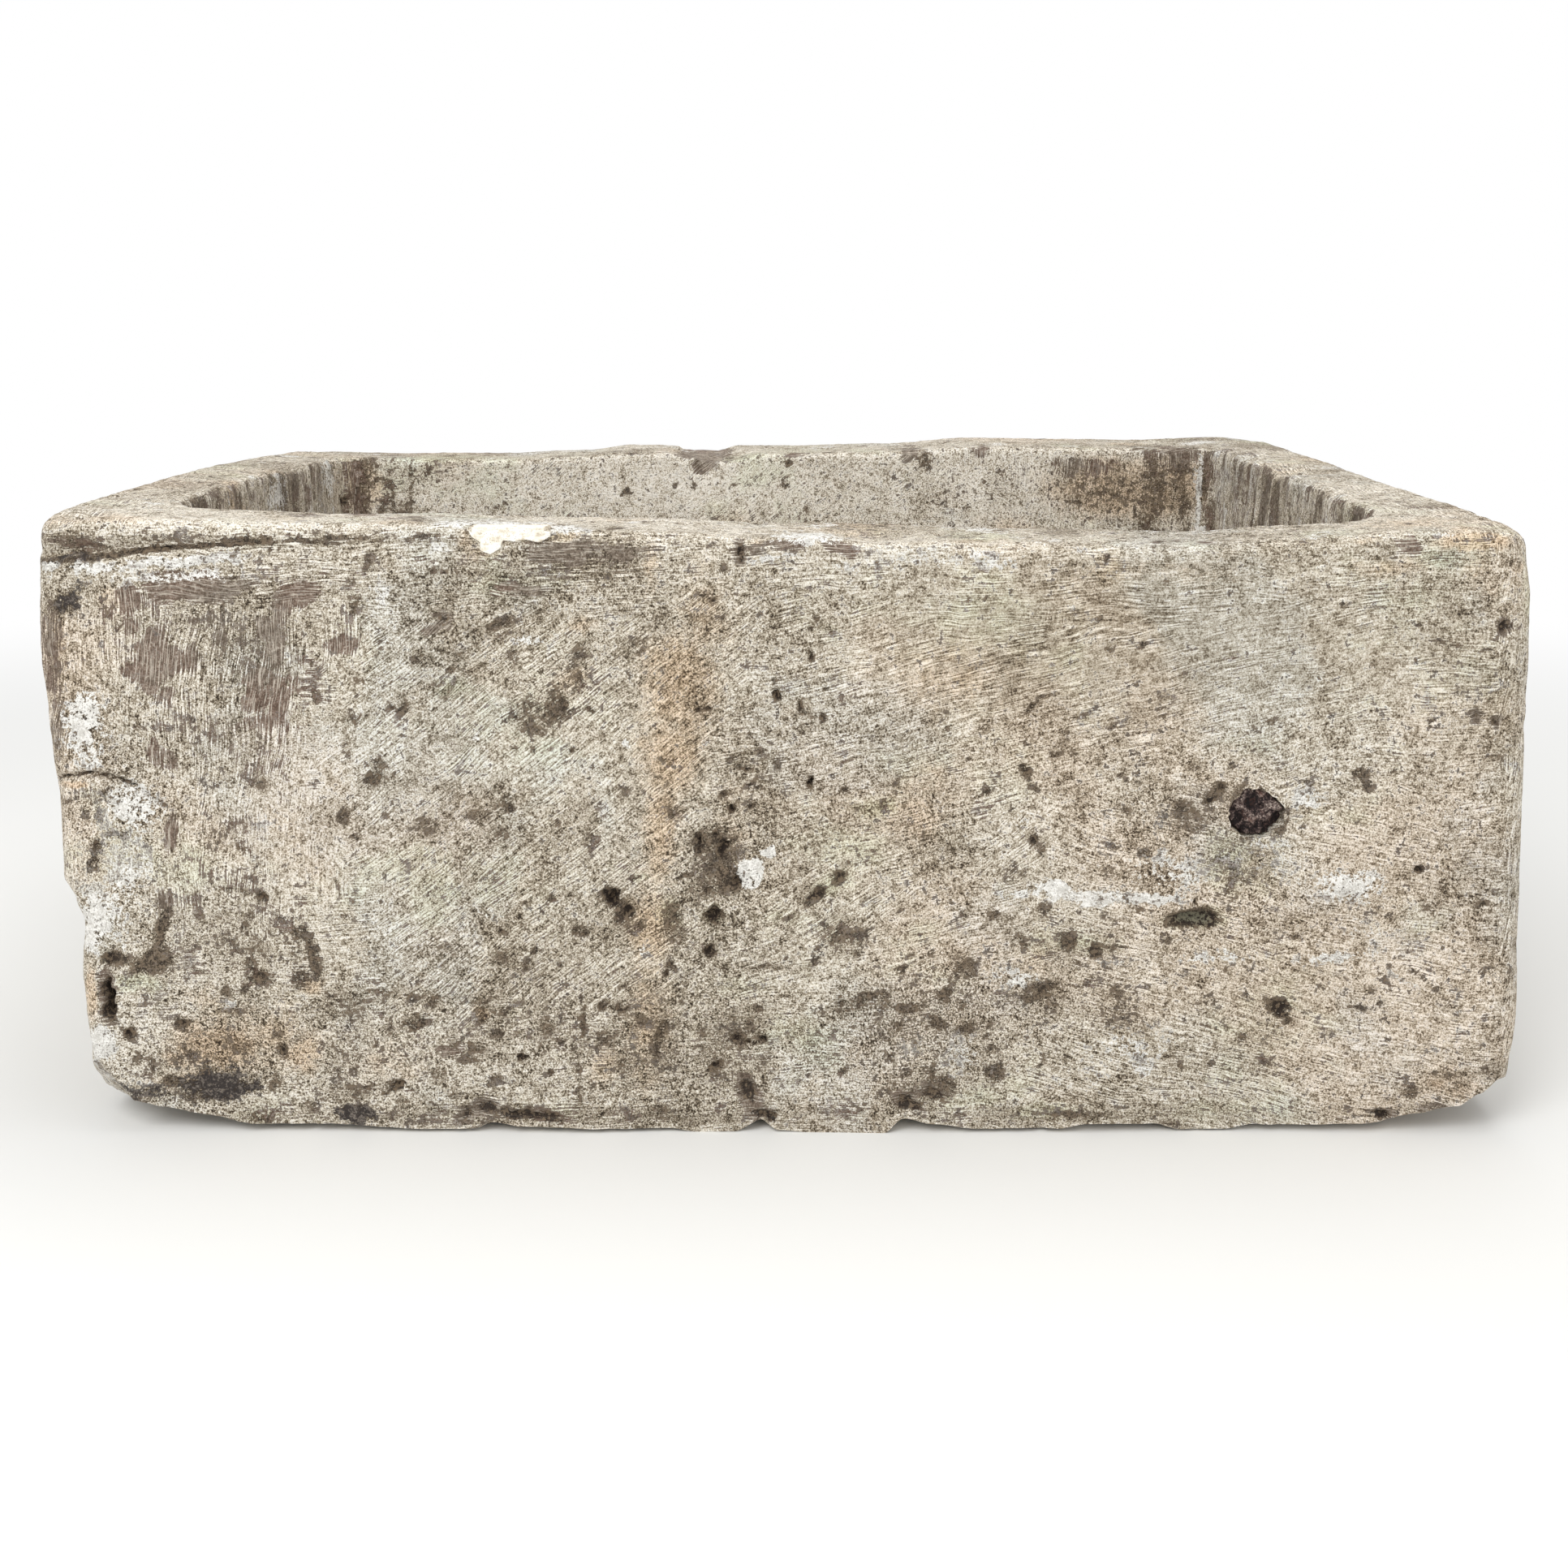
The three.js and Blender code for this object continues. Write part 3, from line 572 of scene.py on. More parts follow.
def fillerShape(grow, top):
    points = np.array(rimFiller["outline"], float)
    upper = np.array([(rimFiller["topEnds"][0], top), (rimFiller["topEnds"][1], top)])
    points = np.vstack([points, upper])
    before, after = np.roll(points, 1, axis=0), np.roll(points, -1, axis=0)
    arriving = points - before
    leaving = after - points
    arriving /= np.linalg.norm(arriving, axis=1)[:, None]
    leaving /= np.linalg.norm(leaving, axis=1)[:, None]
    outward = np.column_stack([arriving[:, 1] + leaving[:, 1], -arriving[:, 0] - leaving[:, 0]])
    outward /= np.linalg.norm(outward, axis=1)[:, None]
    square = outward[:, 0] * arriving[:, 1] - outward[:, 1] * arriving[:, 0]
    points = points + outward * (grow / square)[:, None]
    return points + np.array([rimFiller["across"], fillerRim()])


def cutBlock(obj):
    # The outlet bore with its broken mouth, and the filler's seat.
    angles = np.linspace(-math.pi, math.pi, 48, endpoint=False)
    bore = prism("boreCut", roundOutline(outletFill["boreRadius"], angles), -halfDepth - 12, -205)
    ragged = outletFill["boreRadius"] + mouthReach(angles)
    wave = frontFaceAt(outletFill["across"], outletFill["up"])
    mouth = prism(
        "mouthCut", roundOutline(ragged, angles), -halfDepth - 12, wave + outletFill["mouthDepth"],
    )
    face = frontFaceAt(rimFiller["across"], fillerRim())
    seat = prism(
        "seatCut", fillerShape(rimFiller["gap"], rimFiller["proud"] + 12), face - 12,
        face + rimFiller["seatDepth"] + rimFiller["gap"],
    )
    for cutter in (bore, mouth, seat):
        withModifier(obj, "BOOLEAN", operation="DIFFERENCE", object=cutter, solver="MANIFOLD")
        bpy.data.objects.remove(cutter)


def breakCorner(places):
    # The lower left corner is split away along two rough faces.
    sizes = np.array(trough["breakSizes"], float)
    corner = np.array([-halfLength, -halfDepth, 0])
    for along, across, up in trough["breakShares"]:
        normal = 1 / (sizes * (along, across, up))
        length = np.linalg.norm(normal)
        inside = ((places - corner) @ normal - 1) / length
        rough = 2.2 * roughness(places, 26, 4, trough["seed"] + 3)
        away = np.maximum(0, rough - inside) * smooth(-inside, -3, 0.5)
        places = places + away[:, None] * (normal / length)
    places[:, 2] = np.maximum(places[:, 2], 0)
    return places


def sides(places, normals):
    # How much each point belongs to each face of the block.
    x, y, z = places.T
    nx, ny, nz = normals.T
    facing, level = (0.35, 0.75), (0.35, 0.8)       # a normal's share, from none to all
    band, endBand, nearWall, upperPart, lowerPart = 45, 60, 100, 300, 200
    outX, outY = np.abs(x) > halfLength - endBand - 2, np.abs(y) > halfDepth - 40
    return {
        "front": smooth(-ny, *facing) * (y < -halfDepth + band),
        "back": smooth(ny, *facing) * (y > halfDepth - band),
        "left": smooth(-nx, *facing) * (x < endBand - halfLength) * outX,
        "right": smooth(nx, *facing) * (x > halfLength - endBand) * outX,
        "inFront": smooth(ny, *facing) * (y < -nearWall) * ~outY,
        "inBack": smooth(-ny, *facing) * (y > nearWall) * ~outY,
        "inLeft": smooth(nx, *facing) * (x < -nearWall) * (x > endBand - halfLength),
        "inRight": smooth(-nx, *facing) * (x > nearWall) * (x < halfLength - endBand),
        "rim": smooth(nz, *level) * (z > upperPart),
        "floor": smooth(nz, *level) * (z < lowerPart),
        "under": smooth(-nz, *level),
    }


def markField(u, v, marks, edge=(0.5, 1.2), best=False):
    # Sum, or greatest, of soft-edged ellipses at (u, v).
    field = np.zeros(len(u))
    for at, up, wide, high, turn, strength in marks:
        reach = max(wide, high) * edge[1]
        near = np.flatnonzero((np.abs(u - at) < reach) & (np.abs(v - up) < reach))
        if not len(near):
            continue
        du, dv = u[near] - at, v[near] - up
        cos, sin = math.cos(math.radians(turn)), math.sin(math.radians(turn))
        away = np.hypot((du * cos + dv * sin) / wide, (dv * cos - du * sin) / high)
        value = strength * (1 - smooth(away, *edge))
        field[near] = np.maximum(field[near], value) if best else field[near] + value
    return field


def fromPicture(groups):
    # Listed marks as (across, up, half width, half height, turn, strength).
    return [
        (mark[0], -mark[1], mark[2], mark[3], mark[4] if len(mark) > 4 else 0, strength)
        for strength, marks in groups.items() for mark in marks
    ]


def lineField(u, v, lines):
    field = np.zeros(len(u))
    for wide, depth, through in lines:
        points = np.array(through, float) * (1, -1)
        for (ax, ay), (bx, by) in zip(points[:-1], points[1:]):
            dx, dy = bx - ax, by - ay
            share = np.clip(((u - ax) * dx + (v - ay) * dy) / (dx * dx + dy * dy), 0, 1)
            away = np.hypot(u - ax - share * dx, v - ay - share * dy)
            field = np.maximum(field, depth * (1 - smooth(away, 0, wide)))
    return field


def randomMarks(random, count, wide, across, low, high, strength):
    size = np.exp(random.uniform(math.log(wide[0]), math.log(wide[1]), count))
    return [
        (random.uniform(-across, across), random.uniform(low, high), w,
         w * random.uniform(0.35, 1), random.uniform(-60, 60), strength * random.uniform(0.5, 1))
        for w in size
    ]


# Wear of the front, by picture place. Marks are listed by their strength, which runs
# to about 1: across, down, half width, half height and, where a mark is turned, its degrees.
# Besides wear, these tables hold painted light and shade, noted below.
wear = {}
wear["scraped"] = {
    1.25: [(245, 725, 60, 17)],
    1.2: [(212, 714, 30, 11), (330, 772, 19, 14, 25), (912, 680, 8, 17), (135, 1230, 10, 34)],
    1.15: [(188, 800, 17, 26), (196, 818, 29, 22, 10), (362, 734, 30, 15, 18),
        (317, 838, 13, 16, -10)],
    1.1: [(316, 862, 18, 12, 12), (342, 862, 14, 26), (1857, 773, 11, 8)],
    1.05: [(341, 800, 13, 26)],
    1: [(185, 843, 13, 10), (212, 1026, 10, 24), (545, 766, 11, 13), (535, 776, 14, 7, 20),
        (966, 666, 26, 10, -3), (1032, 668, 26, 12, -20), (600, 1365, 18, 12),
        (650, 1374, 50, 9, -6), (1115, 1358, 20, 12), (1700, 1374, 16, 6)],
    0.95: [(348, 752, 14, 14)],
    0.9: [(160, 737, 15, 16), (421, 794, 20, 10), (1046, 680, 12, 10), (1821, 884, 8, 9),
        (1847, 887, 7, 10), (922, 1345, 14, 26, 12), (935, 1372, 16, 8, -20)],
    0.85: [(164, 824, 15, 9)],
    0.8: [(160, 768, 11, 12), (200, 856, 14, 8, 25), (186, 925, 7, 12), (203, 1110, 10, 10),
        (716, 680, 80, 13), (1437, 668, 14, 10), (1736, 670, 15, 12, -25), (575, 1372, 10, 10)],
    0.7: [(232, 812, 12, 20, -25), (330, 892, 13, 16, -15), (640, 726, 36, 8), (932, 676, 13, 7),
        (1118, 664, 12, 7), (1410, 666, 14, 5, -10), (547, 1292, 10, 8), (1150, 1345, 26, 8, -10)],
    0.65: [(205, 935, 20, 13, -20)],
    0.6: [(62, 800, 14, 60), (268, 786, 8, 18, -20), (300, 893, 14, 10), (560, 1296, 12, 8),
        (1770, 1370, 25, 6)],
    0.5: [(1318, 658, 22, 6)],
    0.45: [(72, 890, 12, 44)],
    0.35: [(100, 672, 46, 12)],
    0.24: [(180, 765, 46, 36)],
    0.22: [(350, 800, 46, 90, 10)],
    0.19: [(250, 800, 90, 66)],
    0.16: [(330, 905, 56, 70), (300, 715, 120, 30), (600, 700, 110, 22), (700, 1372, 420, 12)],
    0.14: [(270, 890, 80, 56), (1480, 665, 340, 12), (215, 1180, 60, 90)],
    0.12: [(300, 1060, 80, 80)],
}
wear["dark"] = {
    1.3: [(903, 1086, 12, 10)],
    1.2: [(757, 1106, 12, 12, 20), (385, 818, 3, 4), (959, 862, 5, 8), (997, 965, 5, 10),
        (900, 997, 4, 8), (862, 1038, 8, 14), (893, 1048, 7, 14), (878, 1130, 11, 13),
        (873, 1172, 6, 9, -20), (1471, 1131, 37, 13), (1750, 1070, 5, 6)],
    1.1: [(200, 1140, 10, 34, -8), (186, 1186, 28, 15, 18), (265, 1338, 42, 15),
        (440, 1372, 28, 12), (1007, 762, 3, 5), (957, 843, 4, 10), (884, 1030, 6, 11),
        (884, 1312, 9, 6, -15), (1506, 972, 9, 7, 20), (1700, 1374, 14, 7)],
    1.05: [(384, 1176, 7, 30, 12)],
    1: [(146, 1182, 16, 11), (768, 1122, 13, 20, -35), (158, 1272, 9, 9), (305, 1340, 20, 9),
        (215, 1333, 14, 8, -20), (562, 702, 5, 4), (705, 925, 5, 7), (657, 1083, 3, 3),
        (617, 1146, 9, 6, -15), (645, 1303, 8, 5), (679, 1319, 5, 4), (1002, 775, 3, 5),
        (1023, 779, 4, 3), (998, 806, 5, 12), (1019, 847, 4, 4), (862, 875, 5, 6, 30),
        (1041, 975, 7, 5, 10), (925, 990, 5, 5), (893, 1074, 12, 12), (818, 1200, 4, 7),
        (935, 1278, 9, 8), (1277, 668, 3, 4), (1378, 698, 4, 2), (1475, 1108, 5, 6),
        (1572, 1240, 18, 9, -30)],
    0.95: [(897, 1082, 21, 20), (872, 870, 6, 5, -30), (927, 909, 6, 5), (1033, 1082, 12, 9, 25),
        (1008, 1102, 14, 9, 30), (910, 1280, 14, 14), (1388, 745, 6, 4), (1272, 872, 12, 6, 20),
        (1300, 930, 10, 6), (1245, 999, 6, 4), (1272, 1037, 8, 8, -20), (1352, 1170, 9, 12),
        (1590, 1258, 10, 6)],
    0.9: [(78, 742, 24, 13, 25), (105, 684, 26, 6), (120, 1043, 9, 10), (276, 750, 4, 6),
        (325, 1105, 12, 9, -20), (540, 702, 9, 3), (692, 868, 9, 7), (728, 874, 5, 4),
        (627, 992, 10, 9), (690, 1015, 6, 4, -35), (738, 1105, 5, 5), (880, 741, 6, 6),
        (985, 870, 6, 10, -15), (1012, 887, 3, 8), (916, 944, 12, 6), (893, 980, 7, 8, -30),
        (812, 957, 4, 4), (845, 1078, 8, 4), (870, 1097, 7, 8), (828, 1190, 9, 5),
        (1035, 1145, 12, 8), (1110, 1195, 7, 5, 10), (1125, 1177, 4, 4), (876, 1320, 5, 5),
        (918, 1325, 12, 8, -20), (1324, 722, 4, 4), (1355, 760, 5, 4, 20), (1317, 775, 3, 3),
        (1408, 793, 5, 5), (1219, 822, 3, 3), (1365, 688, 2, 10), (1353, 915, 3, 5),
        (1265, 914, 5, 5), (1262, 952, 12, 9, -30), (1195, 936, 6, 3), (1215, 973, 6, 5, -40),
        (1200, 963, 3, 3), (1388, 998, 6, 5, -30), (1490, 985, 12, 8, 20), (1315, 1162, 14, 12),
        (1290, 1215, 18, 12, 15), (1275, 1230, 20, 8, 10), (1217, 1278, 5, 4), (1283, 1311, 4, 4),
        (1452, 1312, 5, 5), (1385, 1129, 4, 3), (1330, 1376, 50, 5), (1822, 957, 4, 4)],
    0.85: [(370, 1150, 15, 9), (320, 1205, 16, 9), (226, 1265, 12, 9), (460, 960, 14, 12, 30),
        (498, 870, 9, 15), (658, 922, 5, 4), (442, 1033, 6, 5), (647, 1110, 4, 5),
        (716, 1146, 14, 8, -10), (660, 1175, 5, 5), (510, 1258, 18, 12), (623, 1245, 6, 4),
        (690, 1283, 7, 5), (742, 1240, 7, 8), (812, 1270, 9, 12, -30), (928, 961, 3, 5),
        (1028, 1158, 8, 7), (1145, 1176, 4, 5), (1160, 1225, 10, 9, -20), (1139, 1032, 5, 12, -20),
        (1342, 769, 3, 3), (1368, 895, 8, 4, 10), (1222, 1130, 12, 6), (1225, 1320, 14, 14),
        (1410, 1300, 7, 6, 20), (1718, 948, 5, 4), (1685, 968, 12, 8, -20), (1825, 1110, 8, 5, 20),
        (1672, 1242, 12, 6)],
    0.8: [(868, 1035, 20, 14), (1518, 985, 7, 9), (1524, 1024, 9, 6), (1536, 974, 9, 6),
        (85, 668, 32, 10), (128, 975, 7, 8), (272, 836, 4, 9), (250, 1352, 30, 7),
        (318, 1376, 20, 4), (578, 828, 6, 5), (556, 825, 5, 6), (615, 768, 22, 8, 15),
        (680, 880, 24, 16, 15), (655, 898, 22, 9), (638, 872, 7, 5), (676, 1105, 7, 8, -40),
        (533, 1235, 10, 9), (615, 1273, 6, 10), (870, 738, 14, 5, -10), (1440, 1383, 12, 5),
        (1776, 792, 14, 3)],
    0.75: [(372, 1206, 13, 13), (1498, 977, 18, 11, 20), (1572, 1022, 9, 7),
        (118, 1065, 8, 14, -20), (145, 1027, 20, 6, -12), (168, 896, 8, 5), (388, 860, 5, 9),
        (300, 1098, 28, 4, -5), (306, 1130, 10, 7), (310, 1188, 10, 10), (280, 1222, 6, 8),
        (305, 1222, 6, 8), (350, 1292, 10, 10, -40), (340, 1335, 8, 12), (425, 1005, 10, 12),
        (435, 715, 7, 8), (468, 943, 8, 8), (516, 812, 9, 10), (477, 1002, 7, 4), (425, 1130, 7, 5),
        (640, 1140, 5, 6), (690, 1188, 6, 3, -30), (558, 1288, 12, 8), (765, 1242, 8, 7),
        (808, 1296, 6, 6), (892, 698, 8, 6), (1043, 774, 4, 4), (908, 930, 14, 5, 20),
        (937, 922, 6, 5), (958, 944, 4, 3), (1170, 902, 12, 4, -10), (820, 935, 10, 5, -20),
        (832, 1120, 12, 14), (838, 1140, 8, 8), (998, 1112, 8, 7), (970, 1130, 12, 4, 5),
        (1060, 1232, 42, 9, 5), (1155, 1260, 12, 12), (1190, 1265, 12, 12), (1105, 1262, 8, 8),
        (905, 1252, 4, 6), (838, 1235, 6, 4), (1215, 738, 6, 4, -10), (1300, 773, 3, 3),
        (1298, 727, 4, 4), (1382, 810, 6, 5), (1265, 670, 14, 4), (1330, 694, 4, 3),
        (1272, 970, 8, 6, -40), (1387, 958, 5, 7, 20), (1452, 1000, 12, 14), (1530, 975, 10, 8),
        (1410, 1052, 14, 6), (1255, 1152, 9, 4, -35), (1263, 1162, 5, 5), (1370, 1225, 14, 12),
        (1190, 1190, 16, 16), (1222, 1262, 8, 6), (1226, 1290, 4, 6), (1287, 1300, 5, 6),
        (1490, 1310, 6, 5), (1440, 1287, 4, 4), (1510, 1194, 4, 4), (1667, 863, 8, 3),
        (1764, 890, 4, 8), (1675, 955, 12, 10), (1832, 694, 8, 3), (1760, 1120, 10, 6, -30),
        (1698, 1118, 3, 5), (1688, 1217, 8, 6), (1697, 1233, 5, 4), (1668, 1338, 6, 5),
        (1735, 1352, 10, 10), (1827, 1200, 6, 5)],
    0.7: [(1580, 1003, 6, 11), (140, 682, 22, 6), (84, 987, 9, 5), (390, 1180, 8, 30, 12),
        (342, 1275, 10, 8), (168, 1305, 8, 12), (380, 1365, 10, 10), (455, 690, 8, 16, -10),
        (684, 858, 10, 10), (660, 905, 10, 5), (632, 920, 8, 5), (615, 997, 9, 6), (480, 958, 8, 5),
        (785, 1080, 12, 4), (618, 1182, 12, 12), (650, 1190, 6, 8), (515, 1230, 10, 7),
        (480, 1270, 12, 10), (595, 1250, 10, 10), (642, 1275, 8, 6), (672, 1265, 10, 14),
        (590, 1292, 12, 10), (705, 1293, 6, 6), (540, 1325, 14, 8, -30), (720, 1262, 7, 24),
        (748, 1280, 18, 12, -20), (768, 1218, 8, 5, 30), (790, 1255, 10, 10, -30),
        (731, 1338, 5, 6), (482, 1338, 16, 9, 20), (494, 1356, 12, 6), (1060, 996, 14, 6, 8),
        (1085, 990, 10, 8, 30), (820, 965, 6, 6), (830, 998, 10, 8), (905, 1033, 5, 5),
        (1055, 1170, 10, 10), (1005, 1185, 12, 4, 10), (1030, 1245, 24, 5), (1120, 1240, 24, 8),
        (1185, 1238, 8, 8), (1148, 1325, 6, 26), (1165, 1335, 16, 16), (925, 1262, 10, 10),
        (933, 1244, 10, 4), (862, 1275, 8, 6), (1040, 1318, 6, 6), (1110, 1120, 6, 6),
        (1438, 720, 7, 6), (1462, 828, 6, 6), (1283, 862, 6, 5), (1310, 903, 8, 4),
        (1322, 928, 8, 6), (1406, 965, 4, 5), (1517, 941, 6, 8), (1285, 1048, 9, 9),
        (1370, 1043, 12, 4), (1395, 1037, 6, 6), (1190, 1123, 8, 6), (1375, 1165, 20, 4),
        (1300, 1235, 8, 10), (1480, 1235, 18, 5), (1415, 1215, 5, 4), (1440, 1157, 8, 4),
        (1710, 783, 12, 4, 10), (1765, 802, 4, 8), (1690, 820, 6, 5), (1749, 770, 3, 6),
        (1610, 965, 10, 4), (1570, 890, 10, 4, 10), (1845, 932, 8, 10), (1730, 1062, 5, 4),
        (1595, 1154, 8, 5), (1775, 1217, 6, 3), (1780, 1325, 20, 5), (1860, 1205, 4, 12)],
    0.65: [(1560, 974, 12, 6), (828, 1132, 15, 32), (302, 1143, 6, 14), (872, 1062, 14, 8),
        (950, 1192, 40, 4, 3)],
    0.62: [(665, 880, 40, 28, 15)],
    0.6: [(64, 770, 8, 26), (66, 820, 10, 34), (320, 965, 16, 14), (246, 1132, 9, 6),
        (248, 1197, 12, 5, -15), (295, 1293, 14, 8), (436, 745, 10, 16), (470, 806, 9, 6),
        (632, 806, 12, 10, -30), (715, 802, 14, 16, -35), (435, 888, 14, 12), (430, 925, 9, 14),
        (453, 904, 5, 4), (557, 978, 9, 10), (525, 1020, 18, 10), (590, 1005, 14, 8),
        (618, 1030, 10, 12), (592, 1232, 18, 6), (668, 1295, 8, 6), (765, 1310, 8, 12, -20),
        (810, 1370, 16, 10), (560, 1350, 14, 6), (890, 760, 8, 6), (997, 878, 10, 5, -40),
        (1100, 968, 6, 12, -30), (840, 1158, 8, 10, -20), (1060, 1150, 16, 10),
        (1090, 1228, 12, 12), (810, 1280, 8, 12), (1275, 922, 10, 4), (1470, 945, 10, 8),
        (1365, 1072, 14, 8, 20), (1242, 1085, 10, 5), (1290, 1120, 14, 12, 20), (1335, 1215, 14, 5),
        (1400, 1250, 8, 14), (1375, 1258, 24, 6, -15), (1530, 1275, 10, 6), (1800, 797, 36, 3, -3),
        (1655, 745, 5, 5), (1830, 935, 6, 6), (1717, 1130, 12, 6), (1835, 1320, 14, 10),
        (1840, 1190, 12, 4)],
    0.58: [(1461, 1006, 27, 21)],
    0.55: [(880, 1060, 30, 26), (78, 880, 10, 26), (125, 905, 10, 6), (135, 908, 9, 5, -30),
        (318, 1165, 14, 14), (375, 1210, 14, 10), (785, 790, 14, 9)],
    0.5: [(1120, 1340, 40, 30), (1040, 1150, 40, 24), (100, 1330, 40, 14, 30),
        (775, 1132, 26, 28, -35), (884, 1044, 34, 36), (702, 842, 24, 32, -35),
        (200, 1345, 110, 14, 12), (150, 766, 24, 12), (108, 1005, 9, 14), (122, 1005, 8, 12),
        (290, 1165, 10, 8), (230, 1133, 6, 4), (372, 1175, 24, 12, 8), (290, 1245, 24, 7),
        (430, 1345, 40, 14), (480, 870, 10, 10), (465, 785, 6, 8), (620, 780, 20, 8),
        (705, 825, 12, 10), (775, 803, 18, 6), (725, 995, 20, 10, 30), (770, 975, 16, 8),
        (725, 1030, 12, 20), (475, 1222, 24, 6, 8), (580, 1305, 20, 6), (665, 1340, 18, 8, -20),
        (610, 1330, 10, 10), (1162, 880, 10, 8), (1100, 1290, 8, 30), (1103, 1330, 8, 20),
        (830, 1262, 10, 8), (1400, 880, 16, 20), (1250, 1072, 16, 10, -20), (1705, 815, 20, 3),
        (1718, 935, 6, 8), (1545, 890, 8, 10), (1738, 1085, 10, 8, -20), (1620, 1193, 14, 6)],
    0.46: [(1530, 1066, 56, 40)],
    0.45: [(1290, 1225, 40, 22), (868, 1090, 30, 22), (275, 1035, 30, 28), (425, 1240, 35, 20),
        (555, 858, 22, 8), (568, 808, 12, 10), (716, 1335, 4, 38)],
    # These two run along the lip groove: painted shade in it.
    0.42: [(300, 662, 240, 9, 1), (640, 662, 220, 9)],
    0.4: [(730, 700, 70, 16), (1000, 672, 160, 10), (600, 1376, 380, 12), (300, 1020, 12, 20),
        (180, 1030, 20, 10), (235, 1165, 14, 8), (380, 1275, 20, 8, 20), (420, 1300, 30, 26),
        (548, 910, 12, 8), (555, 1170, 18, 8, -25), (1430, 862, 24, 10), (1557, 1310, 16, 14)],
    0.36: [(1370, 1250, 66, 34), (1300, 668, 200, 7)],
    0.35: [(920, 1300, 40, 60), (300, 1180, 40, 40), (230, 1310, 90, 40, 10), (900, 1290, 60, 60),
        (285, 800, 36, 40), (250, 905, 70, 22), (300, 915, 40, 26), (545, 845, 30, 12),
        (1790, 690, 30, 12)],
    0.32: [(1180, 1290, 70, 66), (1480, 990, 52, 36)],
    0.3: [(330, 1150, 50, 50), (640, 1240, 60, 34), (600, 700, 90, 16), (930, 960, 40, 60),
        (1300, 1220, 90, 40), (300, 1150, 60, 90), (1130, 1250, 110, 70), (790, 1280, 60, 70),
        (1330, 1170, 80, 40), (1560, 672, 160, 7), (1400, 1372, 420, 12), (1460, 1130, 60, 26),
        (235, 770, 52, 22), (1548, 918, 20, 12), (1740, 1330, 30, 20)],
    0.25: [(690, 1270, 60, 50), (520, 1260, 120, 60), (1810, 830, 48, 30), (1690, 885, 25, 14)],
    0.22: [(560, 1262, 90, 50)],
    0.2: [(1010, 870, 60, 60), (1700, 1230, 60, 60), (1420, 900, 60, 60), (280, 950, 45, 40)],
    0.16: [(1500, 1290, 200, 60)],
}
# The long thin marks along the rim's front edge, from about 1000 across to the right and 655 to 705
# down, are painted highlights.
wear["lime"] = {
    1.4: [(945, 1049, 9, 6)],
    1.3: [(120, 1288, 24, 22), (951, 1046, 5, 4)],
    1.1: [(100, 1145, 12, 36), (1302, 1096, 22, 10, -25), (582, 906, 5, 4), (942, 1049, 10, 5, 10)],
    1: [(1345, 1107, 36, 11), (83, 634, 11, 9)],
    0.95: [(1255, 1212, 14, 7)],
    0.9: [(1410, 1108, 52, 9)],
    0.85: [(118, 1130, 26, 40), (104, 888, 30, 42), (112, 1150, 16, 30)],
    0.8: [(210, 692, 120, 8, 3), (112, 700, 40, 8), (60, 700, 13, 10), (998, 667, 7, 13, 25),
        (1575, 1264, 14, 4, -20), (1722, 659, 18, 4)],
    0.75: [(116, 1120, 22, 46), (200, 692, 60, 8, 3)],
    0.72: [(168, 996, 42, 34, -15)],
    0.7: [(922, 1078, 15, 17), (1660, 1088, 50, 26), (540, 672, 12, 8), (1775, 657, 26, 4)],
    0.65: [(105, 900, 32, 44)],
    0.62: [(150, 1082, 36, 46)],
    0.6: [(205, 712, 110, 10, 2), (1270, 1096, 40, 8, 10), (290, 686, 30, 8), (120, 880, 22, 14),
        (767, 918, 14, 7, 20), (960, 688, 40, 4, 8), (1040, 696, 30, 4, -15),
        (1725, 1207, 26, 5, -28)],
    0.55: [(1640, 1180, 70, 10, 4)],
    0.5: [(1440, 1078, 64, 30), (130, 1110, 50, 60), (1190, 1300, 30, 40), (1250, 1205, 40, 14),
        (115, 935, 20, 20), (180, 1065, 14, 18), (175, 1335, 25, 7, -10), (288, 1236, 12, 6),
        (1250, 662, 60, 5), (1350, 672, 60, 5), (1400, 1106, 46, 8), (1560, 1040, 40, 6),
        (595, 1126, 16, 8, -15), (1410, 1318, 16, 6), (150, 1165, 12, 7)],
    0.45: [(125, 905, 25, 22), (650, 790, 22, 8), (1075, 675, 36, 9), (1560, 660, 130, 5),
        (1610, 985, 24, 18), (1195, 1285, 16, 20)],
    0.42: [(150, 1040, 60, 80)],
    0.4: [(1500, 1180, 60, 9), (1400, 1290, 70, 24), (1180, 690, 120, 14), (165, 1100, 24, 12),
        (1135, 676, 36, 12), (790, 1170, 10, 8), (1390, 1265, 34, 5), (1372, 1185, 30, 7)],
    0.35: [(1560, 1060, 60, 30), (470, 735, 26, 26), (1620, 1185, 46, 7), (1600, 1088, 12, 8)],
    0.3: [(640, 840, 26, 10), (1130, 1290, 20, 16), (1260, 1010, 20, 16), (330, 1015, 24, 14)],
    0.25: [(1480, 955, 30, 12)],
    0.2: [(1700, 1150, 60, 26), (1330, 1330, 40, 16)],
}
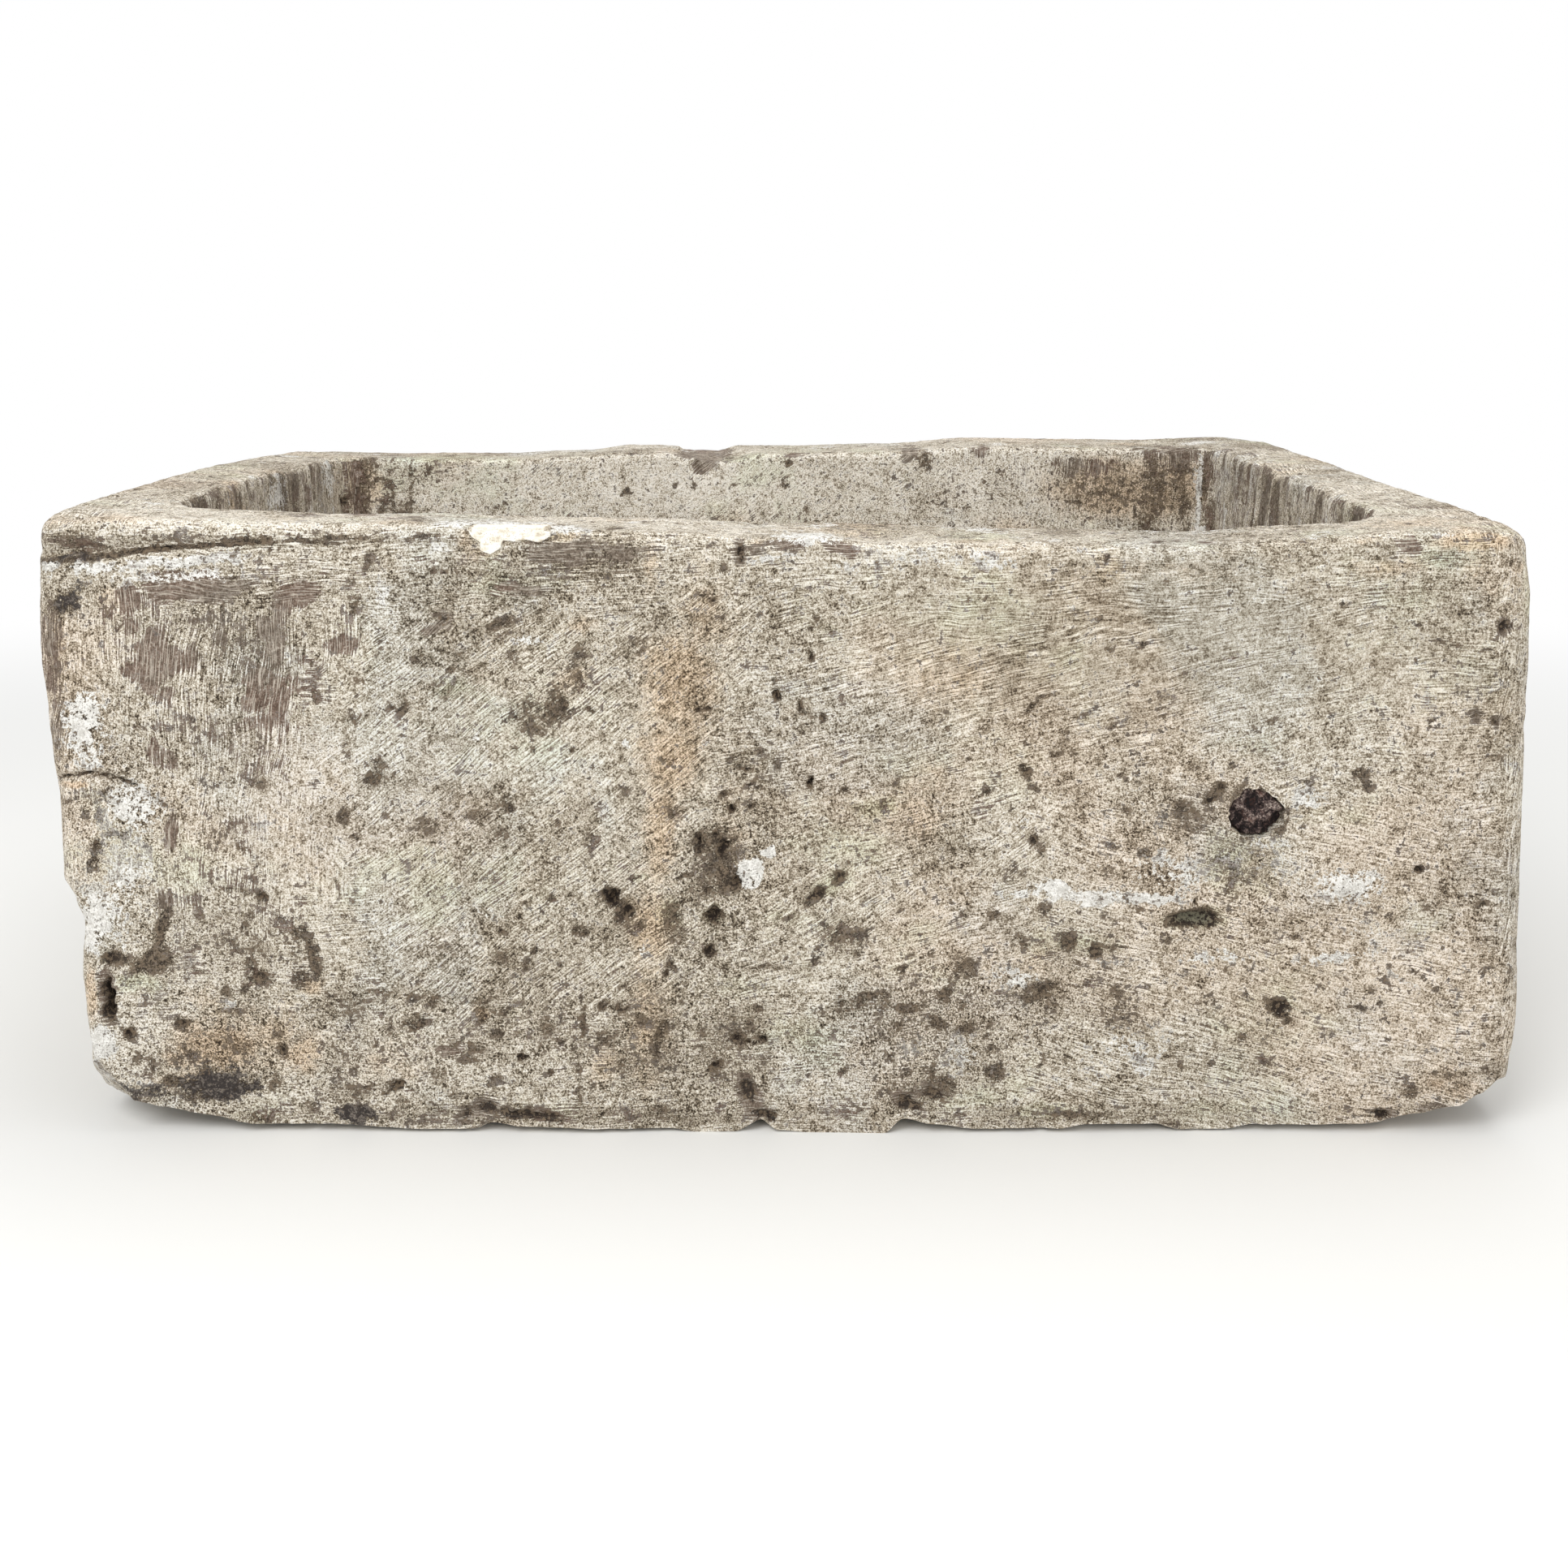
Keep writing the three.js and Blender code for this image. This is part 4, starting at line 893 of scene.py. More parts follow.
wear["rust"] = {
    1.5: [(1812, 664, 44, 15)],
    1.2: [(92, 966, 15, 5)],
    1.05: [(270, 1290, 60, 34)],
    1: [(116, 637, 16, 7), (112, 1222, 11, 40)],
    0.85: [(662, 662, 52, 9), (826, 930, 46, 60)],
    0.8: [(836, 850, 54, 80, 8), (935, 665, 12, 8), (370, 1300, 26, 26), (595, 1247, 12, 9)],
    0.75: [(215, 1305, 22, 15), (385, 1214, 16, 12)],
    0.7: [(574, 668, 15, 24), (816, 1020, 28, 80), (800, 1140, 34, 50), (1678, 668, 22, 6),
        (713, 833, 14, 12)],
    0.6: [(1602, 668, 12, 4), (572, 645, 10, 10), (690, 658, 36, 8), (1772, 1340, 24, 12)],
    0.5: [(700, 840, 26, 34, -35), (800, 1260, 34, 90), (230, 1330, 60, 16, 10),
        (310, 1280, 100, 50), (66, 800, 16, 60), (1868, 705, 8, 20), (135, 738, 22, 22),
        (1720, 700, 60, 14), (335, 1312, 16, 12), (718, 772, 22, 12), (590, 684, 44, 12),
        (802, 700, 12, 34)],
    0.45: [(868, 760, 40, 70), (250, 1232, 30, 20)],
    0.4: [(745, 1310, 26, 30), (1790, 1340, 60, 30), (1835, 735, 14, 26, -25), (1515, 682, 34, 12),
        (480, 1310, 60, 30), (1150, 950, 20, 12), (1385, 662, 30, 6), (740, 655, 60, 5)],
    0.35: [(1810, 700, 40, 30, -10), (1170, 840, 120, 50, 8), (1260, 1180, 60, 50),
        (1130, 1000, 60, 60), (1450, 700, 160, 24)],
    0.3: [(905, 1000, 40, 110), (270, 1310, 70, 24), (1215, 1172, 16, 12)],
    0.25: [(1228, 860, 24, 16)],
}
wear["moss"] = {
    1.4: [(1471, 1132, 38, 13)],
    0.9: [(170, 1212, 34, 14), (878, 1130, 13, 14)],
    0.7: [(1075, 995, 32, 12, 5), (1020, 1092, 30, 14, 30), (1340, 1162, 44, 14)],
    0.6: [(1530, 1062, 56, 44), (660, 660, 40, 8), (825, 1122, 22, 22), (790, 1080, 16, 6)],
    0.5: [(555, 850, 40, 18), (1550, 920, 44, 14), (1290, 1368, 70, 14), (1190, 1352, 60, 16)],
    0.4: [(1290, 1160, 50, 24), (1745, 1130, 50, 30), (900, 1212, 46, 20), (975, 1270, 60, 25),
        (1480, 1368, 60, 14), (675, 1370, 60, 16), (1790, 690, 34, 14)],
    0.35: [(640, 715, 80, 20), (1640, 1005, 50, 14)],
    0.3: [(955, 1130, 40, 12), (1810, 835, 50, 40), (560, 1080, 160, 70), (640, 900, 150, 90),
        (1180, 760, 200, 70), (1580, 1240, 120, 60), (1000, 1040, 60, 20)],
    0.2: [(450, 830, 60, 90)],
}
# The black along the foot of the front, about 1330 to 1375 down, is painted shade under the broken
# corner and the chipped base, with soot; the mark on the lip groove at 686 down is painted shade in
# the groove.
wear["sootAndShade"] = {
    1.05: [(265, 1334, 52, 22)],
    1: [(305, 1341, 22, 10), (440, 1374, 32, 14)],
    0.8: [(82, 740, 20, 12, 20), (180, 1344, 40, 10, -12)],
    0.7: [(100, 722, 8, 8), (95, 686, 40, 6)],
    0.2: [(1440, 1003, 10, 10)],
}
wear["cool"] = {
    0.8: [(125, 1285, 20, 20), (785, 1052, 8, 10)],
    0.7: [(480, 755, 46, 46), (748, 1000, 13, 44), (1620, 1110, 36, 16), (1795, 692, 34, 14),
        (120, 1150, 26, 40)],
    0.6: [(140, 960, 50, 60)],
    0.5: [(1440, 720, 60, 26), (1380, 1105, 70, 14), (860, 660, 70, 8), (1130, 676, 60, 14)],
    0.4: [(235, 690, 80, 10), (1700, 1165, 50, 20), (100, 700, 40, 12)],
    0.35: [(660, 945, 40, 26), (800, 840, 40, 26), (540, 1220, 60, 16)],
}
wear["combed"] = {
    0.9: [(370, 668, 180, 10, 2)],
    0.8: [(380, 715, 90, 26, 12)],
    0.6: [(730, 705, 110, 18)],
    0.5: [(260, 850, 120, 110)],
    0.4: [(480, 770, 60, 60), (900, 930, 70, 70), (1180, 860, 150, 60, 10), (1350, 1300, 300, 60)],
    0.35: [(1250, 780, 260, 70, 8)],
    0.3: [(640, 860, 120, 80), (560, 1200, 160, 60, -20), (1700, 720, 140, 50)],
}
# Where the wash is rough and crusted, and below 0 where it is smooth.
wear["crusted"] = {
    0.6: [(180, 1200, 140, 200), (400, 1310, 300, 90)],
    0.5: [(130, 1000, 90, 120), (1150, 1290, 160, 110)],
    0.4: [(900, 1300, 300, 90), (1500, 1060, 150, 100), (880, 1090, 80, 110), (700, 850, 60, 50)],
    0.3: [(1250, 1230, 150, 60)],
    0.2: [(210, 720, 180, 90)],
    -0.2: [(700, 900, 220, 120)],
    -0.3: [(1800, 860, 100, 90)],
    -0.4: [(1180, 800, 160, 90)],
    -0.8: [(1450, 780, 330, 110)],
}
# Painted shade along the lip groove, the cut lines and the cracks: half width, strength, and the
# places that each runs through.
wear["darkLines"] = [
    (4, 0.9, [(372, 1141), (384, 1180), (401, 1226), (424, 1236)]),
    (3.5, 0.75, [(424, 1236), (453, 1222), (500, 1224), (547, 1228)]),
    (4, 0.8, [(443, 1340), (490, 1330), (520, 1350), (552, 1373)]),
    (9, 1.3, [(52, 692), (75, 690), (100, 688), (120, 686)]),
    (6, 1.6, [(118, 686), (142, 683), (170, 679), (202, 676)]),
    (5, 1.6, [(202, 676), (240, 673), (300, 669)]),
    (4, 1.3, [(300, 669), (350, 667), (400, 664), (450, 662)]),
    (3.5, 0.8, [(450, 662), (500, 660), (560, 658)]),
    (4, 0.8, [(70, 668), (110, 672), (150, 676)]),
    (3.5, 0.8, [(250, 664), (330, 665), (380, 668)]),
    (3.5, 0.7, [(330, 676), (400, 671), (470, 668)]),
    (3, 0.7, [(560, 668), (620, 664), (690, 664)]),
    (3.5, 0.5, [(1008, 1014), (1060, 1017), (1125, 1016)]),
    (4, 0.4, [(716, 1225), (716, 1300), (715, 1386)]),
    (4, 0.9, [(72, 958), (110, 953), (150, 962), (182, 979), (205, 993)]),
    (3, 0.7, [(1766, 795), (1800, 797), (1858, 804)]),
    (3, 0.6, [(1766, 795), (1764, 835)]),
    (3, 0.6, [(1663, 863), (1662, 897)]),
    (3, 0.6, [(1663, 863), (1720, 861)]),
    (4, 0.8, [(1740, 1195), (1770, 1222), (1796, 1246)]),
]
wear["limeRing"] = (923, 1076, 9, 12)
# Most of this tone is the wash's own. The marks at 330, 648 and at 1120, 680 lighten the rim's
# front band as painted highlight, and the mark at 860, 600 lightens the inner back wall as painted
# light.
wear["tone"] = {
    0.19: [(150, 1290, 130, 110)],
    0.14: [(330, 648, 330, 26, -2), (860, 600, 420, 40)],
    0.12: [(400, 930, 60, 80)],
    0.1: [(110, 1060, 60, 130)],
    0.09: [(440, 1330, 300, 70)],
    0.07: [(230, 1250, 110, 80), (1560, 1070, 170, 60)],
    0.06: [(1740, 1230, 120, 130), (1050, 1330, 200, 60), (150, 1080, 120, 90),
        (250, 1060, 160, 110)],
    0.05: [(1700, 1210, 140, 90), (560, 1300, 260, 70), (1300, 1300, 420, 80),
        (1120, 680, 380, 22)],
    0.02: [(1400, 700, 440, 50)],
    -0.03: [(300, 1330, 300, 30, 4), (1420, 600, 110, 60)],
    -0.05: [(1500, 1190, 180, 110), (1450, 1310, 220, 60), (1500, 830, 300, 90),
        (860, 840, 60, 120)],
    -0.06: [(330, 800, 110, 150), (1010, 1010, 120, 90)],
    -0.07: [(560, 750, 300, 70), (1620, 1130, 120, 70)],
    -0.08: [(1120, 900, 120, 90), (90, 740, 60, 70)],
    -0.09: [(350, 870, 120, 80)],
    -0.1: [(700, 1120, 260, 150), (720, 690, 120, 14), (640, 715, 120, 24)],
    -0.11: [(980, 750, 190, 70)],
    -0.13: [(1750, 750, 110, 90)],
    -0.14: [(1160, 1030, 70, 90)],
}
wear["backRust"] = {
    0.65: [(1400, 600, 130, 50)],
    0.55: [(440, 600, 40, 40)],
}
# The inner face of the back wall, and the rim round it.
wear["backScraped"] = {
    1.1: [(868, 556, 34, 12), (870, 572, 18, 14)],
    0.8: [(1120, 560, 12, 10, -40)],
    0.7: [(1450, 560, 40, 14)],
    0.6: [(1340, 575, 60, 12), (1205, 558, 12, 8)],
}
# The tall narrow marks at 440, 625 and 1488, 590 run down the inner back corners: painted shade.
wear["backDark"] = {
    1.1: [(771, 603, 7, 7)],
    1: [(748, 610, 3, 3), (635, 583, 3, 3), (972, 570, 4, 7), (452, 598, 5, 4)],
    0.9: [(655, 571, 3, 3), (965, 598, 5, 8), (992, 632, 6, 12), (484, 610, 6, 4),
        (1488, 590, 14, 44)],
    0.8: [(858, 598, 4, 8), (905, 598, 5, 4)],
    0.7: [(830, 598, 5, 6), (615, 622, 14, 5, 15), (455, 575, 16, 12), (440, 625, 10, 18),
        (1140, 565, 20, 10, -40), (1195, 628, 6, 4)],
    0.6: [(470, 595, 20, 8, -20), (1500, 610, 30, 40)],
    0.52: [(1450, 600, 60, 44)],
    0.5: [(1360, 600, 80, 40)],
    0.45: [(560, 570, 30, 8)],
    0.4: [(520, 585, 40, 12), (900, 565, 30, 8)],
    0.35: [(1230, 600, 30, 30)],
    0.3: [(1160, 610, 40, 26), (1400, 640, 60, 12)],
}


def addAttribute(mesh, name, values):
    attribute = mesh.attributes.new(name, "FLOAT", "POINT")
    attribute.data.foreach_set("value", np.asarray(values, np.float32))


def scatterPits(places, normals, weights, random):
    # Small pits pressed in over the whole block, seeded.
    tree = kdtree.KDTree(len(places))
    for index, place in enumerate(places):
        tree.insert(place, index)
    tree.balance()
    depth = np.zeros(len(places))
    low, high = trough["spreadRadius"]
    for start in random.integers(0, len(places), trough["spread"]):
        radius = low + (high - low) * random.random() ** 2.5
        deep = trough["spreadDepth"] * random.uniform(0.35, 1) * (radius / high) ** 0.5
        if weights[start] < random.random():
            continue
        found = tree.find_range(places[start], radius * 1.4)
        near = np.array([index for _, index, _ in found])
        away = np.linalg.norm(places[near] - places[start], axis=1) / radius
        away = away * (1 + 0.35 * roughness(places[near], radius, 2, trough["seed"] + 9))
        facing = normals[near] @ normals[start] > 0.5
        depth[near] = np.maximum(depth[near], deep * (1 - smooth(away, 0.25, 1.1)) * facing)
    return depth


# How the block is carved and stained. Sizes of noise are those of its largest lumps, in mm.
carving = {
    "wobble": (16, 3), "fray": (4.6, 2),        # noise that makes outlines ragged: size, octaves
    # Where marks of each kind begin and end to fade, as shares of their half width.
    "softEdges": {
        "scraped": (0.4, 1.5), "dark": (0.45, 1.5), "lime": (0.1, 1.5), "rust": (0, 1.6),
        "moss": (0, 1.6), "sootAndShade": (0.2, 1.5), "cool": (0, 1.6), "combed": (0, 1.5),
    },
    "toneEdge": (0, 1.3), "crustedEdge": (0.2, 1.5), "crustedLimits": (-0.8, 1),
    "pitEdge": (0.25, 1.08), "seededPitEdge": (0.2, 1.1),
    # Seeded marks: kind, how many to a tenth of a square metre, size and strength.
    "seededMarks": [
        ("scraped", 5, (4, 17), 0.75), ("dark", 52, (1.8, 7), 0.95), ("dark", 7, (10, 46), 0.5),
        ("lime", 11, (8, 40), 0.6), ("rust", 6, (10, 56), 0.6), ("moss", 6, (14, 60), 0.6),
        ("cool", 5, (14, 50), 0.6),
    ],
    "seededPits": (22, (2.5, 9), 4.5),
    "ribSize": 11, "ribStretch": 0.12, "lumpSize": 46, "smallSize": 7, "edgeSize": 18,
    # The last of these is how deep a place must be pressed in to be painted fully dark, as painted
    # shade.
    "scrapedDepth": 0.35, "limeHeight": 0.25, "shadeDepth": 4.2,
}


def frontMasks(masks, u, v, wobble, fine, belongs, backSeen):
    # Wear, where the picture shows it.
    # Some of these marks are painted light and shade: highlights along the rim's front edge, shade
    # along the lip groove, the cut lines, the foot of the front and the inner back corners, and
    # light on the inner back wall.
    front, how = belongs["front"], carving
    for name, edge in how["softEdges"].items():
        masks[name] = front * markField(u, v, fromPicture(wear[name]), edge, True)
    seen = np.maximum(front, np.maximum(belongs["inBack"], belongs["rim"]))
    masks["tone"] = seen * markField(u, v, fromPicture(wear["tone"]), how["toneEdge"])
    crusted = markField(u, v, fromPicture(wear["crusted"]), how["crustedEdge"])
    masks["crusted"] = front * np.clip(crusted, *how["crustedLimits"])
    for name, key in (("scraped", "backScraped"), ("dark", "backDark"), ("rust", "backRust")):
        field = backSeen * markField(u, v, fromPicture(wear[key]), best=True)
        masks[name] = np.maximum(masks[name], field)
    # Painted shade along the lip groove, the cut lines and the cracks goes into the dark mask.
    darkLines = front * lineField(*fine(2), wear["darkLines"])
    masks["dark"] = np.maximum(masks["dark"], darkLines)
    # The lime ring, with a little lime inside it.
    ringX, ringY, inner, outer = wear["limeRing"]
    away = np.hypot(u - ringX, (v + ringY) * 0.85) + 2 * wobble
    ring = smooth(away, inner - 9, inner) * (1 - smooth(away, outer + 1, outer + 6))
    ring = np.maximum(ring * 0.75, 0.36 * (away < inner))
    masks["lime"] = np.maximum(masks["lime"], front * ring)


def seededMasks(masks, places, wander, belongs, random):
    # The other faces wear seeded marks of the same kinds. Gives the depth of their pits.
    x, y, z = places.T
    across, up = wander
    faces = {       # across, up, half width, lowest and highest
        "back": (-x, z, 470, 0, 400), "left": (-y, z, 290, 0, 410), "right": (y, z, 290, 0, 400),
        "inFront": (-x, z, 400, 120, 400), "inLeft": (y, z, 200, 120, 410),
        "inRight": (-y, z, 200, 120, 410), "rim": (x, y, 480, -300, 300),
        "floor": (x, y, 400, -220, 200), "inBack": (x, z, 400, 120, 330),
    }
    pits = np.zeros(len(places))
    pitRate, pitSize, pitDepth = carving["seededPits"]
    for name, (a, b, wide, low, high) in faces.items():
        area = 2 * wide * (high - low) / 1e5
        a, b = a + across, b + up
        for kind, rate, size, strength in carving["seededMarks"]:
            rate *= 2 if name == "rim" else 1
            marks = randomMarks(random, round(rate * area), size, wide, low, high, strength)
            field = belongs[name] * markField(a, b, marks, carving["softEdges"][kind], True)
            masks[kind] = np.maximum(masks[kind], field)
        marks = randomMarks(random, round(pitRate * area), pitSize, wide, low, high, pitDepth)
        holes = markField(a, b, marks, carving["seededPitEdge"], True)
        pits = np.maximum(pits, belongs[name] * holes)
    return pits


def insideRibs(masks, places, belongs):
    # Ribs of the point tool run down the inside walls, most of all near the corners.
    x, y, z = places.T
    seed, how = trough["seed"], carving
    ends = belongs["inLeft"] + belongs["inRight"]
    longWalls = belongs["inBack"] + belongs["inFront"]
    inside = longWalls + belongs["inLeft"] + belongs["inRight"]
    along = np.where(longWalls > ends, x, y)
    ribPoints = np.column_stack([along, np.zeros(len(x)), z * how["ribStretch"]])
    ribs = roughness(ribPoints, how["ribSize"], 2, seed + 5)
    cornerNear = smooth(np.abs(x), halfLength - 190, halfLength - 120)
    cornerNear = np.maximum(cornerNear, 0.7 * ends)
    # The valleys between the ribs are painted darker, through the dark and scraped masks: painted
    # shade.
    valley = inside * cornerNear * smooth(-ribs, -0.1, 0.3)
    masks["dark"] = np.maximum(masks["dark"], 0.8 * valley)
    bare = (0.04 * cornerNear + 0.14 * ends + 0.12 * valley) * inside
    masks["scraped"] = np.maximum(masks["scraped"], bare)
    masks["lime"] = np.maximum(masks["lime"], 0.6 * inside * cornerNear * smooth(ribs, 0.2, 0.5))
    # The end walls inside are painted darker by as much, so they take none of the hollow's painted
    # light.
    masks["tone"] -= 0.17 * np.clip(ends, 0, 1)
    return ribs * inside * (0.35 + 2.3 * cornerNear)


def carve(obj, shift):
    # Presses the pits, lines, tooling and chips in, and keeps the masks for the finish.
    mesh, how = obj.data, carving
    places, normals = vertexPlaces(mesh), vertexNormals(mesh)
    belongs = sides(places, normals)
    seed, random = trough["seed"], np.random.default_rng(trough["seed"])
    x, y, z = places.T
    across, down = photoPlaces(places + shift)
    size, octaves = how["wobble"]
    wobble = [roughness(places, size, octaves, seed + part) for part in (1, 2)]
    size, octaves = how["fray"]
    fray = [roughness(places, size, octaves, seed + part) for part in (11, 12)]
    u, v = across + 6 * wobble[0] + 6 * fray[0], -down + 6 * wobble[1] + 6 * fray[1]

    def fine(share):
        # Places in the picture for thin lines, which wander less.
        return across + share * wobble[0], share * wobble[1] - down

    front, rim, under = belongs["front"], belongs["rim"], belongs["under"]
    backSeen = np.maximum(belongs["inBack"], rim * (y > 150))
    masks = {}
    frontMasks(masks, u, v, wobble[0], fine, belongs, backSeen)
    wander = 5 * wobble[0] + 4 * fray[0], 5 * wobble[1] + 4 * fray[1]
    pits = seededMasks(masks, places, wander, belongs, random)

    ragged = np.clip(1 + 0.5 * roughness(places, 9, 3, seed + 4), 0.3, 1.6)
    own = front * markField(u, v, fromPicture(trough["pits"]), how["pitEdge"], True)
    chip = backSeen * markField(u, v, fromPicture(trough["backChip"]))
    lines = front * lineField(*fine(2.5), trough["lines"])
    spread = scatterPits(places, normals, 0.35 + 0.65 * (1 - under), random)
    drop, cut = lipAt(x, normals[:, 1])
    lip = trough["lip"]
    toGroove = z - (rimHeightAt(x, y) - drop) + 1.2 * wobble[0]
    groove = np.where(toGroove < 0, 1 + toGroove / lip["below"], 1 - toGroove / lip["above"])
    groove = lip["depth"] * cut * np.clip(groove, 0, 1) * (y < -halfDepth + 30)
    ribs = insideRibs(masks, places, belongs)

    unseen = belongs["back"] + belongs["left"] + belongs["right"]
    masks["tone"] += 0.09 * unseen * roughness(places, 110, 3, seed + 13)
    masks["crusted"] += unseen * np.clip(0.9 * roughness(places, 130, 2, seed + 14), -0.5, 0.9)
    masks["crusted"] += 0.5 * belongs["inBack"]

    # Everything pressed in, less what stands proud.
    depth = own * ragged + chip * ragged + lines + spread + pits * ragged * 0.75 + groove
    depth += how["scrapedDepth"] * smooth(masks["scraped"], 0.35, 0.6)
    depth -= how["limeHeight"] * smooth(masks["lime"], 0.4, 0.7)
    lumps = roughness(places, how["lumpSize"], 3, seed + 6)
    small = roughness(places, how["smallSize"], 2, seed + 7)
    swell = lumps + 0.28 * small * (1 + np.maximum(rim, 0.35)) + 1.1 * ribs
    tight = np.clip(1 - np.abs(normals).max(axis=1), 0, 0.3) / 0.3
    swell += (1.2 + 0.8 * rim) * tight * roughness(places, how["edgeSize"], 3, seed + 8)
    flat = under * (z < 1) + (np.hypot(x, y) < trough["drainRadius"] + 3) * (z < 4)
    keep = (1 - boreAndSeat(places)) * (1 - np.clip(flat, 0, 1))
    filler = np.hypot((x - rimFiller["across"]) / 40, (z - fillerRim() + 6) / 22) + (y > -250)
    swell *= 0.25 + 0.75 * smooth(filler, 0.6, 1)       # calm beside the filler
    moved = places + normals * ((swell - depth) * keep)[:, None]
    moved[:, 2] += wornFoot(x, y) * np.clip(1 - z / 120, 0, 1)
    moved[:, 2] = np.maximum(moved[:, 2], 0)
    setPlaces(mesh, moved + shift)

    # The deeper a place is pressed in, the darker the finish paints it: painted shade in the pits,
    # the lines and the lip groove.
    deep = own * ragged + spread * 0.8 + pits * 0.8 + lines * 0.6 + groove * 0.35
    masks["pit"] = np.clip(deep / how["shadeDepth"], 0, 1) * (1 - under)
    smears = markField(x + 4 * wobble[0] + 4 * fray[0], y + 4 * wobble[1] + 4 * fray[1],
                       rimFiller["smears"], how["softEdges"]["lime"], True)
    masks["lime"] = np.maximum(masks["lime"], rim * smears)
    return masks, belongs, places, normals


def boreAndSeat(places):
    # The cut faces of the bore and the seat, where nothing is pressed in.
    x, y, z = places.T
    fromBore = np.hypot(x - outletFill["across"], z - outletFill["up"])
    mouth = frontFaceAt(outletFill["across"], outletFill["up"]) + 1.2
    inBore = (fromBore < outletFill["boreRadius"] + 5.2) & (y < -200) & (y > mouth)
    rim = fillerRim()
    face = frontFaceAt(rimFiller["across"], rim)
    inSeat = (
        (np.abs(x - rimFiller["across"]) < rimFiller["length"] / 2 + 1) & (z > rim - 18)
        & (y > face + 0.6) & (y < face + rimFiller["seatDepth"] + 1) & (z < rim - 0.5)
    )
    return (inBore | inSeat).astype(float)


# Which way the brush went over the front, by picture place: each way fades in and out between two
# places across, and between two down.
brushing = {
    "ways": ("upright", "slant", "shallow", "falling"),
    "upright": {"to": (390, 450), "top": (700, 730), "foot": (1080, 1180), "lost": 0.75},
    "slant": {"from": (400, 470), "to": (860, 960), "top": (705, 760), "foot": (1220, 1300)},
    "shallow": {"from": (840, 940), "to": (1600, 1760), "top": (720, 790), "foot": (1180, 1260)},
    "falling": {"from": (1180, 1300), "to": (1800, 1850), "top": (930, 1010)},
    "marks": {
        "upright": {1: [(455, 770, 40, 60)]},
        "slant": {0.9: [(1010, 1110, 110, 60)], 0.8: [(1220, 1050, 70, 60)]},
    },
    "drift": (90, 70), "driftSize": 90,         # how far the borders wander
    "rightEdge": (1838, 1852), "fallingOver": 0.9,
    "backLeft": (440, 520), "backRight": (1080, 1300),
    "patchSize": 150, "patch": (0.0, 0.35),     # patches of brushing on the other faces
}


def brushShare(way, across, down):
    # How far one way of brushing holds at places of the picture.
    share = np.ones(len(across))
    for value, start, end, lost in (
        (across, "from", "to", 1), (down, "top", "foot", way.get("lost", 1)),
    ):
        if start in way:
            share *= smooth(value, *way[start])
        if end in way:
            share *= 1 - lost * smooth(value, *way[end])
    return share


def strokeWeights(across, down, belongs, places):
    # Which way the brush went. What is left over was brushed level.
    how, seed = brushing, trough["seed"] + 20
    a = across + how["drift"][0] * roughness(places, how["driftSize"], 3, seed)
    d = down + how["drift"][1] * roughness(places, how["driftSize"], 3, seed + 1)
    own = {name: brushShare(how[name], a, d) for name in how["ways"]}
    own["upright"] = np.maximum(own["upright"], smooth(across, *how["rightEdge"]))
    for name, marks in how["marks"].items():
        own[name] = np.maximum(own[name], markField(a, -d, fromPicture(marks), best=True))
    own["shallow"] = own["shallow"] * (1 - own["slant"]) * (1 - how["fallingOver"] * own["falling"])

    other = {
        name: smooth(roughness(places, how["patchSize"], 2, seed + 2 + index), *how["patch"])
        for index, name in enumerate(how["ways"])
    }
    inBack = belongs["inBack"]
    inside = np.clip(belongs["inLeft"] + belongs["inRight"] + belongs["inFront"], 0, 1)
    other["upright"] = np.maximum(other["upright"], inside)
    backEnds = np.maximum(smooth(across, *how["backRight"]), 1 - smooth(across, *how["backLeft"]))
    other["upright"] = np.maximum(other["upright"] * (1 - inBack), inBack * backEnds)
    return {
        name: np.clip(mix(other[name] * (1 - belongs["rim"]), own[name], belongs["front"]), 0, 1)
        for name in how["ways"]
    }


